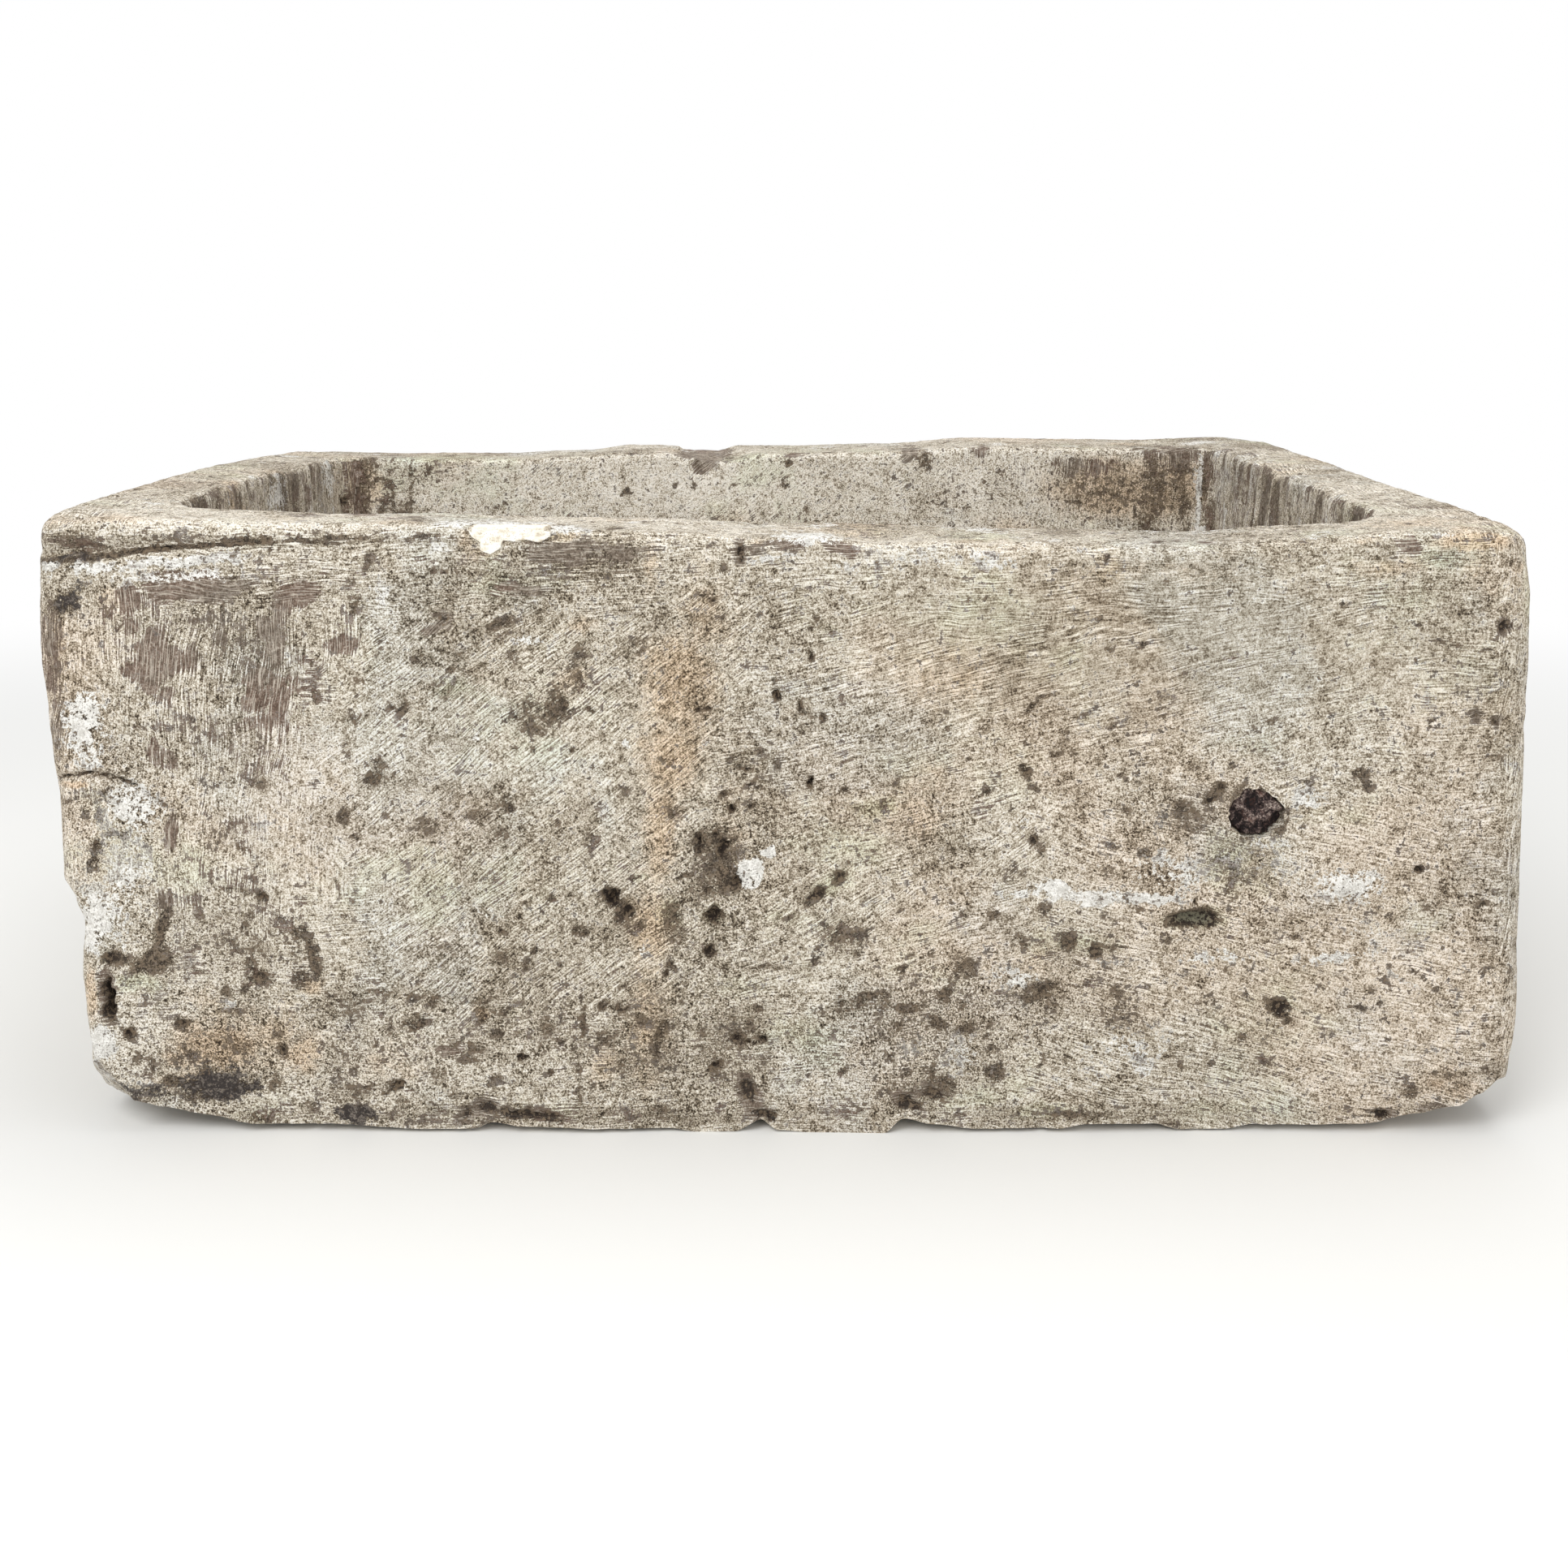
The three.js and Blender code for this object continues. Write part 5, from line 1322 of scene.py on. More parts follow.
def layFaceMaps(obj, places, normals):
    # One map in metres for the brush marks, and one that packs the faces for a baked picture.
    mesh = obj.data
    starts = np.empty(len(mesh.polygons), np.int32)
    totals = np.empty(len(mesh.polygons), np.int32)
    mesh.polygons.foreach_get("loop_start", starts)
    mesh.polygons.foreach_get("loop_total", totals)
    corner = np.empty(len(mesh.loops), np.int32)
    mesh.loops.foreach_get("vertex_index", corner)
    owner = np.repeat(np.arange(len(starts)), totals)
    middle = np.zeros((len(starts), 3))
    facing = np.zeros((len(starts), 3))
    for axis in range(3):
        middle[:, axis] = np.bincount(owner, places[corner, axis], len(starts)) / totals
        facing[:, axis] = np.bincount(owner, normals[corner, axis], len(starts))
    facing /= np.linalg.norm(facing, axis=1)[:, None]
    fx, fy, fz = facing.T
    mx, my, mz = middle.T
    sideX = np.abs(fx) > np.abs(fy)
    # 0 front, 1 back, 2 left, 3 right, 4 to 7 the same walls inside, 8 top and floor, 9 underside,
    # 10 drain, 11 cut faces.
    ends = np.where(fx * mx > 0, np.where(fx < 0, 2, 3), np.where(fx > 0, 6, 7))
    longSides = np.where(fy * my > 0, np.where(fy < 0, 0, 1), np.where(fy > 0, 4, 5))
    group = np.where(sideX, ends, longSides)
    group = np.where((fz > 0.62) & ((mz > 300) | (mz < 200)), 8, group)
    group = np.where((fz < -0.62) & (mz < 90), 9, group)
    group = np.where(boreAndSeat(middle) > 0, 11, group)
    group = np.where(np.hypot(mx, my) < trough["drainRadius"] + 0.5, 10, group)
    # Which two axes each group is laid out on, the sign of the first, and its share of detail.
    maps = {
        0: (0, 2, 1, 1), 1: (0, 2, -1, 0.4), 2: (1, 2, -1, 0.44), 3: (1, 2, 1, 0.44),
        4: (0, 2, -1, 0.3), 5: (0, 2, 1, 0.62), 6: (1, 2, 1, 0.4), 7: (1, 2, -1, 0.4),
        8: (0, 1, 1, 0.56), 9: (0, 1, -1, 0.16),
    }
    p = places[corner] * mm
    flat = np.zeros((len(corner), 2))
    groupOf = group[owner]
    for index, (a, b, sign, share) in maps.items():
        mine = groupOf == index
        flat[mine] = np.column_stack([p[mine, a] * sign, p[mine, b]])
    shares = {index: layout[3] for index, layout in maps.items()}
    shares.update({10: 0.2, 11: 0.12})
    drain = groupOf == 10
    angle = np.arctan2(p[drain, 1], p[drain, 0])
    turned = np.arctan2(middle[owner[drain], 1], middle[owner[drain], 0])
    angle = turned + (angle - turned + math.pi) % (2 * math.pi) - math.pi
    flat[drain] = np.column_stack([angle * 0.016, p[drain, 2]])
    hidden = groupOf == 11
    flat[hidden] = np.column_stack([p[hidden, 0] + p[hidden, 1], p[hidden, 2] + 0.3 * p[hidden, 1]])
    rimEnds = (groupOf == 8) & (np.abs(mx) > halfLength - 74)[owner]
    brushed = np.where(rimEnds[:, None], flat[:, ::-1], flat)   # strokes run along the rim
    faceMap = mesh.uv_layers.new(name="faceMap")
    faceMap.uv.foreach_set("vector", brushed.astype(np.float32).ravel())

    lows = {i: flat[groupOf == i].min(0) for i in shares if (groupOf == i).any()}
    highs = {i: flat[groupOf == i].max(0) for i in lows}
    frontScale, shrink = 1.012, 1.03        # the front keeps its scale, the others give way
    while True:
        sizes = {i: (highs[i] - lows[i]) * shares[i] * (shrink if i else frontScale) for i in lows}
        spots, x, y, shelf = {}, 0.003, 0.003, 0
        for i in sorted(lows, key=lambda i: -sizes[i][1] - 10 * (i == 0)):
            if x + sizes[i][0] > 0.998:
                x, y, shelf = 0.003, y + shelf + 0.004, 0
            spots[i] = (x, y)
            x += sizes[i][0] + 0.004
            shelf = max(shelf, sizes[i][1])
        if y + shelf < 0.998:
            break
        shrink *= 0.985
    packed = np.zeros_like(flat)
    for i, spot in spots.items():
        mine = groupOf == i
        scale = shares[i] * (shrink if i else frontScale)
        packed[mine] = (flat[mine] - lows[i]) * scale + spot
    bake = mesh.uv_layers.new(name="OFBake")
    bake.uv.foreach_set("vector", packed.astype(np.float32).ravel())


def makeTrough():
    rings = blockRings()
    rows, around = rings.shape[:2]
    print("block rings", rows, "by", around)
    index = np.arange(rows * around).reshape(rows, around)
    low, high = index, np.roll(index, -1, axis=0)
    faces = np.stack([low, np.roll(low, -1, 1), np.roll(high, -1, 1), high], axis=-1)
    obj = meshFrom("stone_trough", rings.reshape(-1, 3), faces.reshape(-1, 4))
    cutBlock(obj)
    print("block cut", len(obj.data.polygons), "faces")
    whole = vertexPlaces(obj.data)
    broken = breakCorner(whole)
    setPlaces(obj.data, broken)
    shift = cadShift()
    masks, belongs, places, normals = carve(obj, shift)
    masks["split"] = smooth(np.linalg.norm(broken - whole, axis=1), 0.4, 2.5)
    across, down = photoPlaces(places + shift)
    masks.update(strokeWeights(across, down, belongs, places))
    masks["foot"] = (1 - smooth(places[:, 2], 10, 120)) * (1 - belongs["floor"])
    # The inside walls and floor, which the finish paints lighter: painted light.
    masks["hollow"] = np.clip(
        belongs["inLeft"] + belongs["inRight"] + belongs["inFront"] + belongs["inBack"]
        + belongs["floor"], 0, 1)
    # Rounded edges, which the finish paints a little lighter: painted highlight.
    masks["edge"] = np.clip(1 - np.abs(normals).max(axis=1), 0, 0.29) / 0.29
    mesh = obj.data
    for name, values in masks.items():
        addAttribute(mesh, name, values)
    layFaceMaps(obj, places, normals)
    setPlaces(mesh, vertexPlaces(mesh) * mm)
    mesh.shade_smooth()
    mesh.set_sharp_from_angle(angle=math.radians(55))
    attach(obj, "root")
    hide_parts("trough_body")
    mesh.materials.clear()
    mesh.materials.append(limewashMaterial())
    print("block carved", len(mesh.vertices), "points")


def colourOf(red, green, blue):
    # A colour as it is seen, 0 to 255, turned into the light values that materials take.
    def linear(value):
        value /= 255
        return value / 12.92 if value <= 0.04045 else ((value + 0.055) / 1.055) ** 2.4
    return (linear(red), linear(green), linear(blue), 1)


class Nodes:
    # Short ways to add nodes to one material.
    def __init__(self, material):
        self.tree = material.node_tree
        self.tree.nodes.clear()

    def add(self, kind, inputs=None, out=0, **settings):
        node = self.tree.nodes.new(kind)
        for key, value in settings.items():
            setattr(node, key, value)
        for key, value in (inputs or {}).items():
            if isinstance(value, bpy.types.NodeSocket):
                self.tree.links.new(value, node.inputs[key])
            else:
                node.inputs[key].default_value = value
        return node.outputs[out] if node.outputs else None

    def math(self, operation, first, second=0.0, third=0.0, clamp=False):
        return self.add(
            "ShaderNodeMath", {0: first, 1: second, 2: third}, operation=operation, use_clamp=clamp)

    def centred(self, value, gain):
        # Noise round a half, turned into noise round 0.
        return self.math("MULTIPLY_ADD", value, gain, -0.5 * gain)

    def times(self, value, gain):
        return self.math("MULTIPLY", value, gain)

    def summed(self, *values):
        total = values[0]
        for value in values[1:]:
            total = self.math("ADD", total, value)
        return total

    def scaled(self, value, low, high, outLow=0.0, outHigh=1.0, kind="SMOOTHSTEP"):
        return self.add("ShaderNodeMapRange", {
            "Value": value, "From Min": low, "From Max": high, "To Min": outLow, "To Max": outHigh,
        }, interpolation_type=kind)

    def mixed(self, share, first, second, blend="MIX"):
        node = self.tree.nodes.new("ShaderNodeMix")
        node.data_type = "RGBA"
        node.blend_type = blend
        for key, value in ((0, share), (6, first), (7, second)):
            if isinstance(value, bpy.types.NodeSocket):
                self.tree.links.new(value, node.inputs[key])
            else:
                node.inputs[key].default_value = value
        return node.outputs[2]

    def tinted(self, colour, share, tint):
        return self.mixed(share, colour, self.mixed(1.0, colour, (*tint, 1), "MULTIPLY"))

    def noise(self, vector, scale, detail, rough, dimensions="3D", distort=0.0):
        return self.add("ShaderNodeTexNoise", {
            "Vector": vector, "Scale": scale, "Detail": detail, "Roughness": rough,
            "Distortion": distort,
        }, noise_dimensions=dimensions)

    def mask(self, name):
        return self.add("ShaderNodeAttribute", out=2, attribute_name=name)

    def ramp(self, value, tones):
        node = self.tree.nodes.new("ShaderNodeValToRGB")
        band = node.color_ramp
        while len(band.elements) < len(tones):
            band.elements.new(0.5)
        for element, (at, tone) in zip(band.elements, tones):
            element.position = at
            element.color = colourOf(*tone)
        self.tree.links.new(value, node.inputs[0])
        return node.outputs[0]

    def surface(self, colour, rough, height, bump, gloss):
        # Ends a material: bump is its strength and its depth in metres.
        raised = self.add("ShaderNodeBump", {
            "Strength": bump[0], "Distance": bump[1], "Height": height})
        shader = self.add("ShaderNodeBsdfPrincipled", {
            "Base Color": colour, "Roughness": rough, "Normal": raised, "Specular IOR Level": gloss,
        })
        self.add("ShaderNodeOutputMaterial", {"Surface": shader})


def newMaterial(name):
    material = bpy.data.materials.new(name)
    material.use_nodes = True
    return material, Nodes(material)


# The brushed limewash over brown and olive stone.
limewash = {
    "tones": [          # from bare stone to thick wash
        (0.0, (44, 35, 26)), (0.16, (82, 70, 56)), (0.32, (128, 115, 95)), (0.5, (175, 164, 145)),
        (0.66, (205, 195, 178)), (0.82, (230, 222, 207)), (1.0, (248, 243, 234)),
    ],
    "colours": {
        "scrapedBrown": (120, 107, 94), "scrapedRed": (122, 102, 89), "scratch": (206, 196, 181),
        "cluster": (48, 38, 29), "clusterLight": (122, 106, 87), "limeWhite": (252, 250, 245),
        # Of these, the dark pit colour is painted shade.
        "sootAndShade": (54, 49, 48), "sootLight": (126, 118, 110), "pit": (44, 35, 29),
        "split": (222, 219, 213), "mossDry": (134, 132, 112),
    },
    # Lumps to a metre, detail and roughness: broad, drift, patch, blotch, fleck and grain.
    "noise": [
        (4.5, 3.0, 0.55), (15.0, 4.0, 0.6), (45.0, 5.0, 0.65), (120.0, 5.0, 0.7),
        (300.0, 4.0, 0.7), (900.0, 3.0, 0.7),
    ],
    "brushes": [("upright", 84), ("slant", 38), ("shallow", 13), ("falling", -13), (None, 1.5)],
    "bristle": (1000.0, 270.0),     # fine and broad bristle marks to a metre
    "strokeLength": (52.0, 26.0),
    "bend": 0.016,                  # how far the strokes wander, in metres
    "base": 0.585, "mottle": (0.7, 1.0, 1.65, 2.5),
    # Kinds of mark: how much patch, blotch, fleck and grain break up its edges, then between which
    # levels it comes in, and the share that it begins and ends with.
    "marks": {
        "dark": ((0.7, 2.6, 3.0, 0.7), (0.49, 0.52, 0.0, 0.94)),
        "scraped": ((1.5, 1.3, 1.0, 0), (0.25, 0.36, 0.0, 1.0)),
        "lime": ((1.2, 1.8, 2.2, 0.8), (0.4, 0.49, 0.0, 0.94)),
        "sootAndShade": ((0, 2.6, 3.4, 0.8), (0.48, 0.54, 0.0, 0.88)),
        "pit": ((0, 1.6, 2.4, 0.6), (0.42, 0.56, 0.0, 0.92)),
        "mossDry": ((0, 0, 3.0, 1.5), (0.95, 1.3, 0.0, 0.7)),
        "moss": ((1.6, 0, 0, 0), (0.05, 0.9, 0.0, 0.9)),
        "cool": ((1.4, 0, 0, 0), (0.1, 0.8, 0.0, 0.7)),
        "rust": ((1.2, 0, 0.8, 0), (0.05, 0.8, 0.0, 0.82)),
    },
    "warmTint": (1.03, 0.96, 0.92),
    # Tints of the wash, and the slow noise that adds to each: lumps to a metre, and its levels.
    "tints": {
        "moss": ((0.9, 0.96, 0.86), (7.5, 0.52, 0.7, 0.0, 0.5)),
        "cool": ((0.95, 1.0, 1.06), (6.0, 0.5, 0.66)),
        "rust": ((0.99, 0.84, 0.7), None),
    },
    "roughness": (0.8, 0.96), "bump": (0.7, 0.0007), "gloss": 0.3,
}


def brushStreaks(n, body, face):
    # Each brush leaves fine long marks along its own direction, slightly bent.
    look = limewash
    bend = n.add("ShaderNodeTexNoise", {
        "Vector": face, "Scale": 11.0, "Detail": 3.0}, out=1, noise_dimensions="2D")
    bent = n.add("ShaderNodeVectorMath", {
        0: bend, 1: (look["bend"], look["bend"], 0.0), 2: face}, operation="MULTIPLY_ADD")
    streaks, left = [0.0, 0.0], 1.0
    for index, (name, angle) in enumerate(look["brushes"]):
        turned = n.add("ShaderNodeMapping", {
            "Vector": bent, "Rotation": (0.0, 0.0, math.radians(-angle)),
        }, vector_type="POINT")
        share = left
        if name:
            spread = n.noise(body, 21.0 + 4.0 * index, 4.0, 0.6)
            share = n.scaled(n.math("ADD", n.mask(name), n.centred(spread, 2.6)), 0.3, 0.7)
            share = n.math("MULTIPLY", share, left)
            left = n.math("SUBTRACT", left, share)
        for layer in (0, 1):
            stretch = (look["strokeLength"][layer], look["bristle"][layer], 1.0)
            long = n.add("ShaderNodeVectorMath", {0: turned, 1: stretch}, operation="MULTIPLY")
            mark = n.noise(long, 1.0, 2.0, 0.6, "2D")
            streaks[layer] = n.math("MULTIPLY_ADD", mark, share, streaks[layer])
    return streaks


def limewashMaterial():
    material, n = newMaterial("limewashed_stone")
    look = limewash
    tone = {key: colourOf(*value) for key, value in look["colours"].items()}
    centred, times, summed, tinted = n.centred, n.times, n.summed, n.tinted
    body = n.add("ShaderNodeTexCoord", out=3)
    face = n.add("ShaderNodeUVMap", uv_map="faceMap")
    broad, drift, patch, blotch, fleck, grain = (n.noise(body, *size) for size in look["noise"])

    def noisy(gains):
        noises = zip((patch, blotch, fleck, grain), gains)
        return [centred(noise, gain) for noise, gain in noises if gain]

    def shown(name, start, *extra):
        # Where one kind of mark shows, with ragged edges.
        gains, levels = look["marks"][name]
        return n.scaled(summed(start, *noisy(gains), *extra), *levels)

    streak, band = brushStreaks(n, body, face)
    thread = n.scaled(streak, 0.53, 0.6)
    gap = n.scaled(streak, 0.46, 0.39)
    hollow, foot, edge, dark, crusted = (
        n.mask(name) for name in ("hollow", "foot", "edge", "dark", "crusted"))
    brushed = n.math("ADD", n.scaled(patch, 0.42, 0.58, 0.4, 1.0), times(n.mask("combed"), 1.3))
    brushed = times(brushed, n.scaled(crusted, 0.1, 0.7, 1.0, 0.3))
    mottled = times(summed(*noisy(look["mottle"])), n.math("MULTIPLY_ADD", crusted, 0.55, 1.0))
    # The hollow is painted lighter, as painted light, and rounded edges a little lighter, as
    # painted highlight.
    base = summed(
        n.math("ADD", n.mask("tone"), look["base"]), centred(broad, 0.5), centred(drift, 0.55),
        mottled, times(times(thread, brushed), 0.2), centred(band, 0.15),
        times(times(gap, brushed), -0.15), times(edge, 0.06), times(hollow, 0.17),
    )

    # Where the wash has worn through: thin specks all over, thick in the worn zones.
    zone = summed(
        n.scaled(drift, 0.5, 0.64, 0.0, 0.3), n.scaled(broad, 0.5, 0.62, 0.0, 0.12),
        times(foot, 0.06), times(dark, 0.35), times(crusted, 0.28),
    )
    limit = n.scaled(zone, 0.0, 1.0, 0.585, 0.458, "LINEAR")
    speck = summed(times(fleck, 0.5), times(blotch, 0.36), times(patch, 0.14))
    speck = n.math("ADD", speck, centred(streak, -0.12))
    worn = n.scaled(n.math("SUBTRACT", speck, limit), -0.002, 0.008)
    crust = n.scaled(n.math("ADD", blotch, centred(fleck, 0.6)), 0.575, 0.61, 0.0, 0.6)
    deeper = n.math("MULTIPLY_ADD", crusted, -0.26, -0.38)
    base = summed(base, times(worn, deeper), times(crust, 0.16))
    colour = n.ramp(base, look["tones"])

    # Slow drifts between warm, greenish and cool wash.
    warm = n.scaled(n.noise(body, 3.4, 3.0, 0.6), 0.5, 0.64, 0.0, 0.8)
    colour = tinted(colour, warm, look["warmTint"])
    for name, (tint, slow) in look["tints"].items():
        extra = [n.scaled(n.noise(body, slow[0], 4.0, 0.6), *slow[1:])] if slow else []
        colour = tinted(colour, shown(name, n.mask(name), *extra), tint)

    # Clusters where dark stone shows. The same mask carries painted shade along the lip groove and
    # the cut lines, in the rib valleys inside and in the inner back corners.
    clusters = shown("dark", dark, times(thread, -0.1), times(crusted, 0.07))
    inside = n.scaled(summed(times(grain, 0.35), times(fleck, 0.65)), 0.45, 0.57)
    colour = n.mixed(clusters, colour, n.mixed(inside, tone["cluster"], tone["clusterLight"]))

    # Stone scraped bare, with pale scratches left by the tool.
    scraped = shown("scraped", n.mask("scraped"), times(thread, -0.3), times(gap, 0.12))
    brown = n.mixed(n.scaled(drift, 0.42, 0.58), tone["scrapedBrown"], tone["scrapedRed"])
    mottle = summed(times(grain, 0.4), times(fleck, 0.6))
    brown = tinted(brown, n.scaled(mottle, 0.55, 0.43), (0.48, 0.45, 0.42))
    brown = n.mixed(n.scaled(mottle, 0.54, 0.62, 0.0, 0.6), brown, tone["scratch"])
    brown = n.mixed(times(thread, 0.55), brown, tone["scratch"])
    colour = n.mixed(times(scraped, 0.94), colour, brown)

    # Lime with some painted highlights, split stone, soot with some painted shade, painted shade in
    # pits, and dry moss.
    # Lime, with painted highlights along the rim's front edge.
    lime = shown("lime", n.mask("lime"))
    white = tinted(tone["limeWhite"], n.scaled(mottle, 0.47, 0.55, 1.0, 0.0), (0.72, 0.71, 0.69))
    colour = n.mixed(times(lime, n.math("SUBTRACT", 1.0, times(worn, 0.7))), colour, white)
    splitAt = times(n.mask("split"), n.scaled(blotch, 0.44, 0.54, 0.1, 0.6))
    freshStone = n.mixed(n.scaled(patch, 0.46, 0.54), tone["scrapedBrown"], tone["split"])
    colour = n.mixed(splitAt, colour, freshStone)
    # Soot, and painted shade under the broken corner and the chipped base.
    sootAndShadeTone = n.mixed(n.scaled(mottle, 0.5, 0.6), tone["sootAndShade"], tone["sootLight"])
    colour = n.mixed(shown("sootAndShade", n.mask("sootAndShade")), colour, sootAndShadeTone)
    # Painted shade in pits, lines and the lip groove, darker the deeper they are.
    pitShadeTone = n.mixed(n.scaled(fleck, 0.5, 0.58), tone["pit"], tone["clusterLight"])
    colour = n.mixed(shown("pit", n.mask("pit")), colour, pitShadeTone)
    colour = n.mixed(shown("mossDry", n.mask("moss")), colour, tone["mossDry"])

    height = summed(
        times(thread, 0.45), times(gap, -0.35), times(grain, 1.3), times(fleck, 1.2),
        times(blotch, 1.2), times(worn, -0.5), times(lime, 0.4), times(clusters, -0.7),
    )
    scrapedHeight = n.math("ADD", times(thread, 0.25), times(grain, 0.5))
    height = n.mixed(times(scraped, 0.7), height, scrapedHeight)
    rough = n.scaled(n.math("SUBTRACT", base, times(scraped, 0.4)), 0.1, 0.8, *look["roughness"])
    n.surface(colour, rough, height, look["bump"], look["gloss"])
    return material


def spun(name, profile, around):
    # A closed form turned round the outlet's axis, on (radius, y) points from front to back.
    turns = np.linspace(0, 2 * math.pi, around, endpoint=False)
    rings = [
        np.column_stack([
            outletFill["across"] + radius * np.cos(turns), np.full(around, y),
            outletFill["up"] + radius * np.sin(turns),
        ]) for radius, y in profile
    ]
    index = np.arange(len(rings) * around).reshape(len(rings), around)
    low, high = index[:-1], index[1:]
    faces = np.stack([low, high, np.roll(high, -1, 1), np.roll(low, -1, 1)], axis=-1)
    obj = meshFrom(name, np.vstack(rings), faces.reshape(-1, 4))
    work = bmesh.new()
    work.from_mesh(obj.data)
    work.verts.ensure_lookup_table()
    work.faces.new([work.verts[i] for i in index[0]])
    work.faces.new([work.verts[i] for i in index[-1][::-1]])
    bmesh.ops.recalc_face_normals(work, faces=work.faces)
    work.to_mesh(obj.data)
    work.free()
    return obj


def finishPiece(obj, material, node):
    mesh = obj.data
    setPlaces(mesh, (vertexPlaces(mesh) + cadShift()) * mm)
    mesh.shade_smooth()
    mesh.materials.clear()
    mesh.materials.append(material)
    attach(obj, "root")
    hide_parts(node)


def makeOutletFill():
    radius = outletFill["boreRadius"] - outletFill["gap"]
    crown, seed = outletFill["crown"], outletFill["seed"]
    front = frontFaceAt(outletFill["across"], outletFill["up"]) + outletFill["recess"]
    back = front + outletFill["length"]
    ledge = front - outletFill["recess"] + outletFill["mouthDepth"]
    turns = np.linspace(0.02, quarterTurn, 34)
    profile = [(radius * math.sin(t), front + crown * (1 - math.cos(t))) for t in turns]
    profile += [(radius, y) for y in (ledge - 1.6, ledge - 0.9, ledge - 0.4, ledge - 0.15)]
    profile += [(radius, y) for y in np.linspace(ledge, back - crown, 22)[1:]]
    profile += [(radius - crown * s, back - crown * (1 - s)) for s in (0.5, 1)]
    profile += [((radius - crown) * (1 - s), back) for s in (0.35, 0.7, 0.97)]
    obj = spun("outlet_fill", profile, outletFill["around"])
    places = vertexPlaces(obj.data)
    away = places - np.array([outletFill["across"], 0, outletFill["up"]])
    away[:, 1] = 0
    length = np.maximum(np.linalg.norm(away, axis=1), 1e-6)
    angles = np.arctan2(away[:, 2], away[:, 0])
    brim = (places[:, 1] < ledge - 0.3) * smooth(length / radius, 0.3, 1)
    grown = brim * (outletFill["spread"] * mouthReach(angles) - 0.2)
    pulled = np.clip(roughness(places, 5, 3, seed + 2) + 0.3, 0, 1)
    pulled *= outletFill["pull"] * length / radius
    places += away * ((grown - pulled) / length)[:, None]
    onFront = 1 - smooth(places[:, 1], front + crown * 0.9, front + crown * 1.6)
    crust = sum(
        high * roughness(places, size, 3, seed + index)
        for index, (size, high) in enumerate(outletFill["crust"]))
    crust = np.clip(crust, outletFill["crustLow"], outletFill["crustHigh"])
    places[:, 1] -= onFront * crust
    setPlaces(obj.data, places)
    # The crust's height, kept for painted highlight and painted shade on the fill.
    addAttribute(obj.data, "reliefShading", onFront * crust / 2)
    finishPiece(obj, outletMaterial(), "outlet_plug")
    print("outlet filled")


def outletMaterial():
    material, n = newMaterial("dark_fill")
    body = n.add("ShaderNodeTexCoord", out=3)
    crust = n.noise(body, 170.0, 5.0, 0.7, distort=0.8)
    grit = n.noise(body, 720.0, 3.0, 0.65)
    cells = n.add("ShaderNodeTexVoronoi", {
        "Vector": body, "Scale": 210.0}, feature="DISTANCE_TO_EDGE")
    whole = n.scaled(cells, 0.0, 0.09)          # 0 in the cracks
    tone = n.math("SUBTRACT", n.summed(crust, n.times(grit, 1.5)), 0.85)
    # Raised crust is painted lighter and its hollows darker: painted highlight and painted shade.
    tone = n.math("MULTIPLY_ADD", n.mask("reliefShading"), 0.13, tone)
    colour = n.ramp(tone, outletFill["tones"])
    # Near-black cracks between the crust's cells: painted shade.
    broken = n.scaled(crust, 0.5, 0.56, 0.0, 0.6)
    crackShaded = n.times(n.math("SUBTRACT", 1.0, whole), broken)
    colour = n.mixed(crackShaded, colour, colourOf(*outletFill["crackShade"]))
    rusty = n.scaled(n.noise(body, 90.0, 3.0, 0.6), 0.52, 0.66, 0.0, 0.5)
    colour = n.mixed(rusty, colour, colourOf(*outletFill["rust"]))
    height = n.summed(crust, n.times(grit, 0.35), n.times(whole, 0.3))
    rough = n.scaled(grit, 0.3, 0.7, 0.72, 0.95)
    n.surface(colour, rough, height, outletFill["bump"], outletFill["gloss"])
    return material


def makeRimFiller():
    look, rim, seed = rimFiller, fillerRim(), rimFiller["seed"]
    face = frontFaceAt(look["across"], rim)
    outline = fillerShape(look["gap"] - 0.08, look["proud"])
    obj = prism("rim_lime_filler", outline, face - look["proud"], face + look["seatDepth"])
    withModifier(obj, "REMESH", mode="VOXEL", voxel_size=look["voxel"])
    withModifier(obj, "SMOOTH", factor=0.5, iterations=5)
    places, normals = vertexPlaces(obj.data), vertexNormals(obj.data)
    outside = np.maximum(
        1 - smooth(places[:, 1], face - 0.2, face + 0.8), smooth(places[:, 2], rim - 1.5, rim))
    (wide, high), (narrow, low) = look["lumps"]
    lumps = high * roughness(places, wide, 3, seed) + low * roughness(places, narrow, 2, seed + 1)
    # The straight edges of its top are worn thin.
    toEnd = look["length"] / 2 - np.abs(places[:, 0] - look["across"])
    toBack = face + look["seatDepth"] - places[:, 1]
    top = smooth(places[:, 2], rim - 2.5, rim - 0.8)
    toEdge = np.minimum(toEnd, toBack) + 2.2 * roughness(places, 7, 2, seed + 2)
    places += normals * (lumps * outside)[:, None]
    setPlaces(obj.data, places)
    addAttribute(obj.data, "thin", top * (1 - smooth(toEdge, 0, look["thinEdge"])))
    finishPiece(obj, fillerMaterial(), "rim_filler")
    print("rim filled")


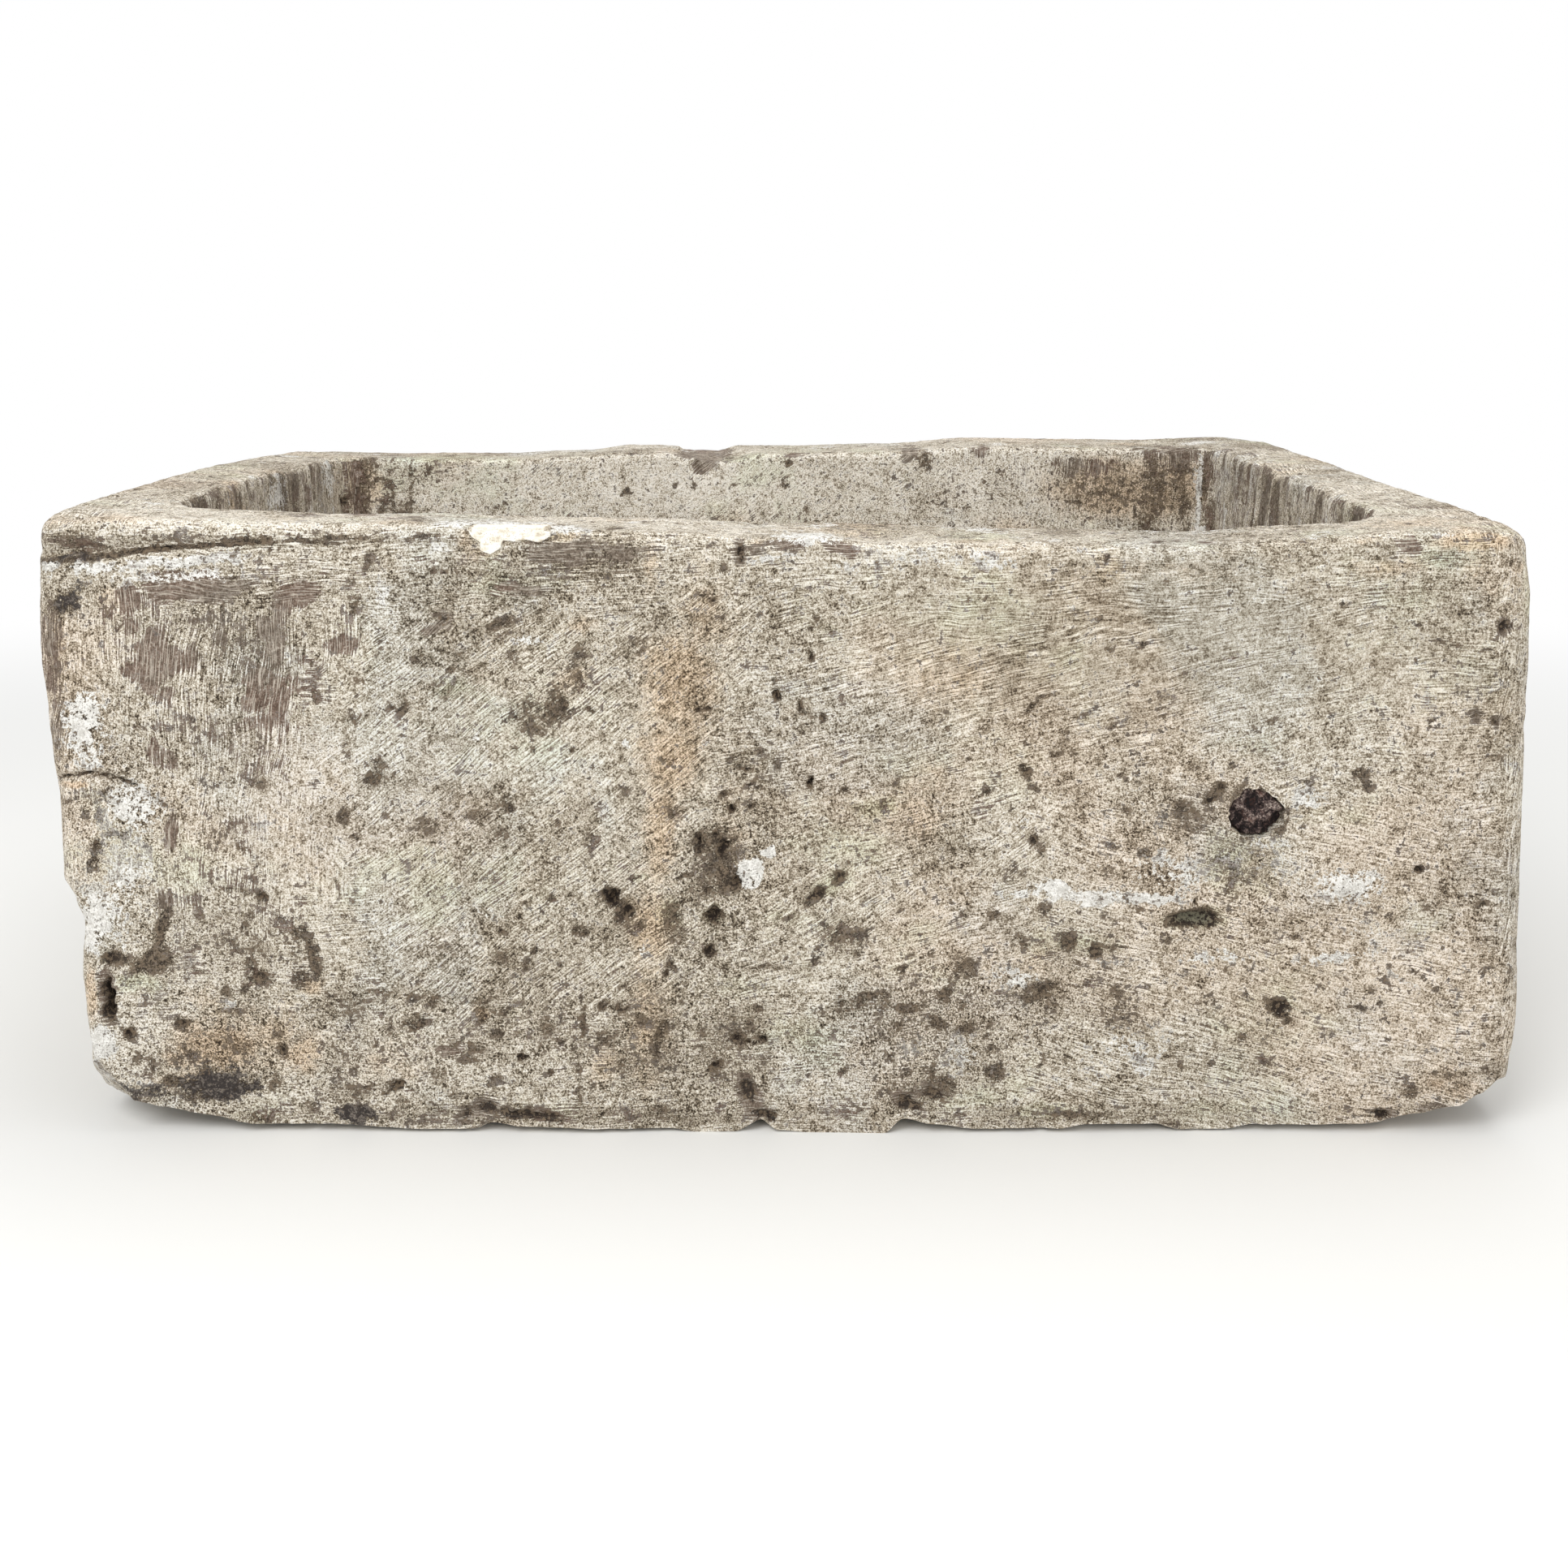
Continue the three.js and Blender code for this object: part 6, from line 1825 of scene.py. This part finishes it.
def fillerMaterial():
    material, n = newMaterial("lime_filler")
    look = rimFiller
    body = n.add("ShaderNodeTexCoord", out=3)
    smear = n.add("ShaderNodeVectorMath", {0: body, 1: (90.0, 500.0, 620.0)}, operation="MULTIPLY")
    drawn = n.noise(smear, 1.0, 3.0, 0.6)
    blotch = n.noise(body, 150.0, 4.0, 0.6)
    grain = n.noise(body, 900.0, 3.0, 0.6)
    tone = n.summed(n.times(drawn, 0.4), n.times(blotch, 0.6))
    colour = n.ramp(tone, look["tones"])
    flecks = n.scaled(grain, 0.55, 0.66, 0.0, 0.6)
    colour = n.mixed(flecks, colour, colourOf(*look["fleck"]))
    # Thin edges on top, where the stone's own tones come through.
    ragged = n.centred(n.noise(body, 320.0, 4.0, 0.7), 2.4)
    through = n.scaled(n.math("ADD", n.mask("thin"), ragged), 0.34, 0.5)
    stoneTone = n.summed(n.times(grain, 0.5), n.times(blotch, 0.5))
    stone = n.ramp(stoneTone, look["stoneTones"])
    colour = n.mixed(through, colour, stone)
    height = n.summed(n.times(drawn, 0.8), n.times(grain, 0.4))
    rough = n.scaled(blotch, 0.3, 0.7, 0.72, 0.9)
    n.surface(colour, rough, height, look["bump"], look["gloss"])
    return material


# The plain studio, in metres.
studio = {
    "floorReach": 16.0, "floorTone": (232, 232, 230), "whiteFrom": 0.7, "whiteTo": 1.9,
    "worldLight": 0.6,
    "lamps": {          # place, what it faces, size, watts
        "keyLamp": ((-1.2, -2.1, 2.5), (0.0, -0.1, 0.2), 1.7, 60.0),
        "topLamp": ((0.4, 0.2, 2.6), (0.0, 0.0, 0.2), 1.8, 26.0),
        "fillLamp": ((2.2, -2.4, 1.1), (0.0, -0.1, 0.2), 1.6, 14.0),
    },
}


def whiteForCamera(n):
    # 1 for rays that show the background: straight, glossy and transmitted ones.
    path = n.add("ShaderNodeLightPath")
    outputs = path.node.outputs
    shown = n.math("ADD", outputs["Is Camera Ray"], outputs["Is Glossy Ray"])
    return n.math("ADD", shown, outputs["Is Transmission Ray"], clamp=True)


def makeStudio():
    reach = studio["floorReach"]
    corners = np.array([(-1, -1, 0), (1, -1, 0), (1, 1, 0), (-1, 1, 0)]) * reach
    floor = meshFrom("studio_floor", corners, np.array([[0, 1, 2, 3]]))
    material, n = newMaterial("pale_floor")
    place = n.add("ShaderNodeTexCoord", out=3)
    away = n.add("ShaderNodeVectorMath", {0: place, 1: (0.75, 1.0, 1.0)}, operation="MULTIPLY")
    away = n.add("ShaderNodeVectorMath", {0: away}, out=1, operation="LENGTH")
    far = n.scaled(away, studio["whiteFrom"], studio["whiteTo"])
    share = n.math("MULTIPLY", far, whiteForCamera(n))
    lit = n.add("ShaderNodeBsdfDiffuse", {"Color": colourOf(*studio["floorTone"])})
    white = n.add("ShaderNodeEmission", {"Color": (1, 1, 1, 1), "Strength": 1.0})
    n.add("ShaderNodeOutputMaterial", {
        "Surface": n.add("ShaderNodeMixShader", {0: share, 1: lit, 2: white})})
    floor.data.materials.append(material)

    world = bpy.data.worlds.new("studio_world")
    bpy.context.scene.world = world
    world.use_nodes = True
    n = Nodes(world)
    strength = n.scaled(whiteForCamera(n), 0.0, 1.0, studio["worldLight"], 1.0, "LINEAR")
    light = n.add("ShaderNodeBackground", {"Color": (1, 1, 1, 1), "Strength": strength})
    n.add("ShaderNodeOutputWorld", {"Surface": light})

    for name, (place, aim, size, watts) in studio["lamps"].items():
        lamp = bpy.data.lights.new(name, "AREA")
        lamp.size = size
        lamp.energy = watts
        obj = bpy.data.objects.new(name, lamp)
        bpy.context.scene.collection.objects.link(obj)
        obj.location = place
        obj.rotation_euler = (Vector(aim) - Vector(place)).to_track_quat("-Z", "Y").to_euler()
    bpy.context.scene.view_settings.view_transform = "Standard"
    print("studio ready")


makeCamera()
makeStudio()
makeTrough()
makeOutletFill()
makeRimFiller()
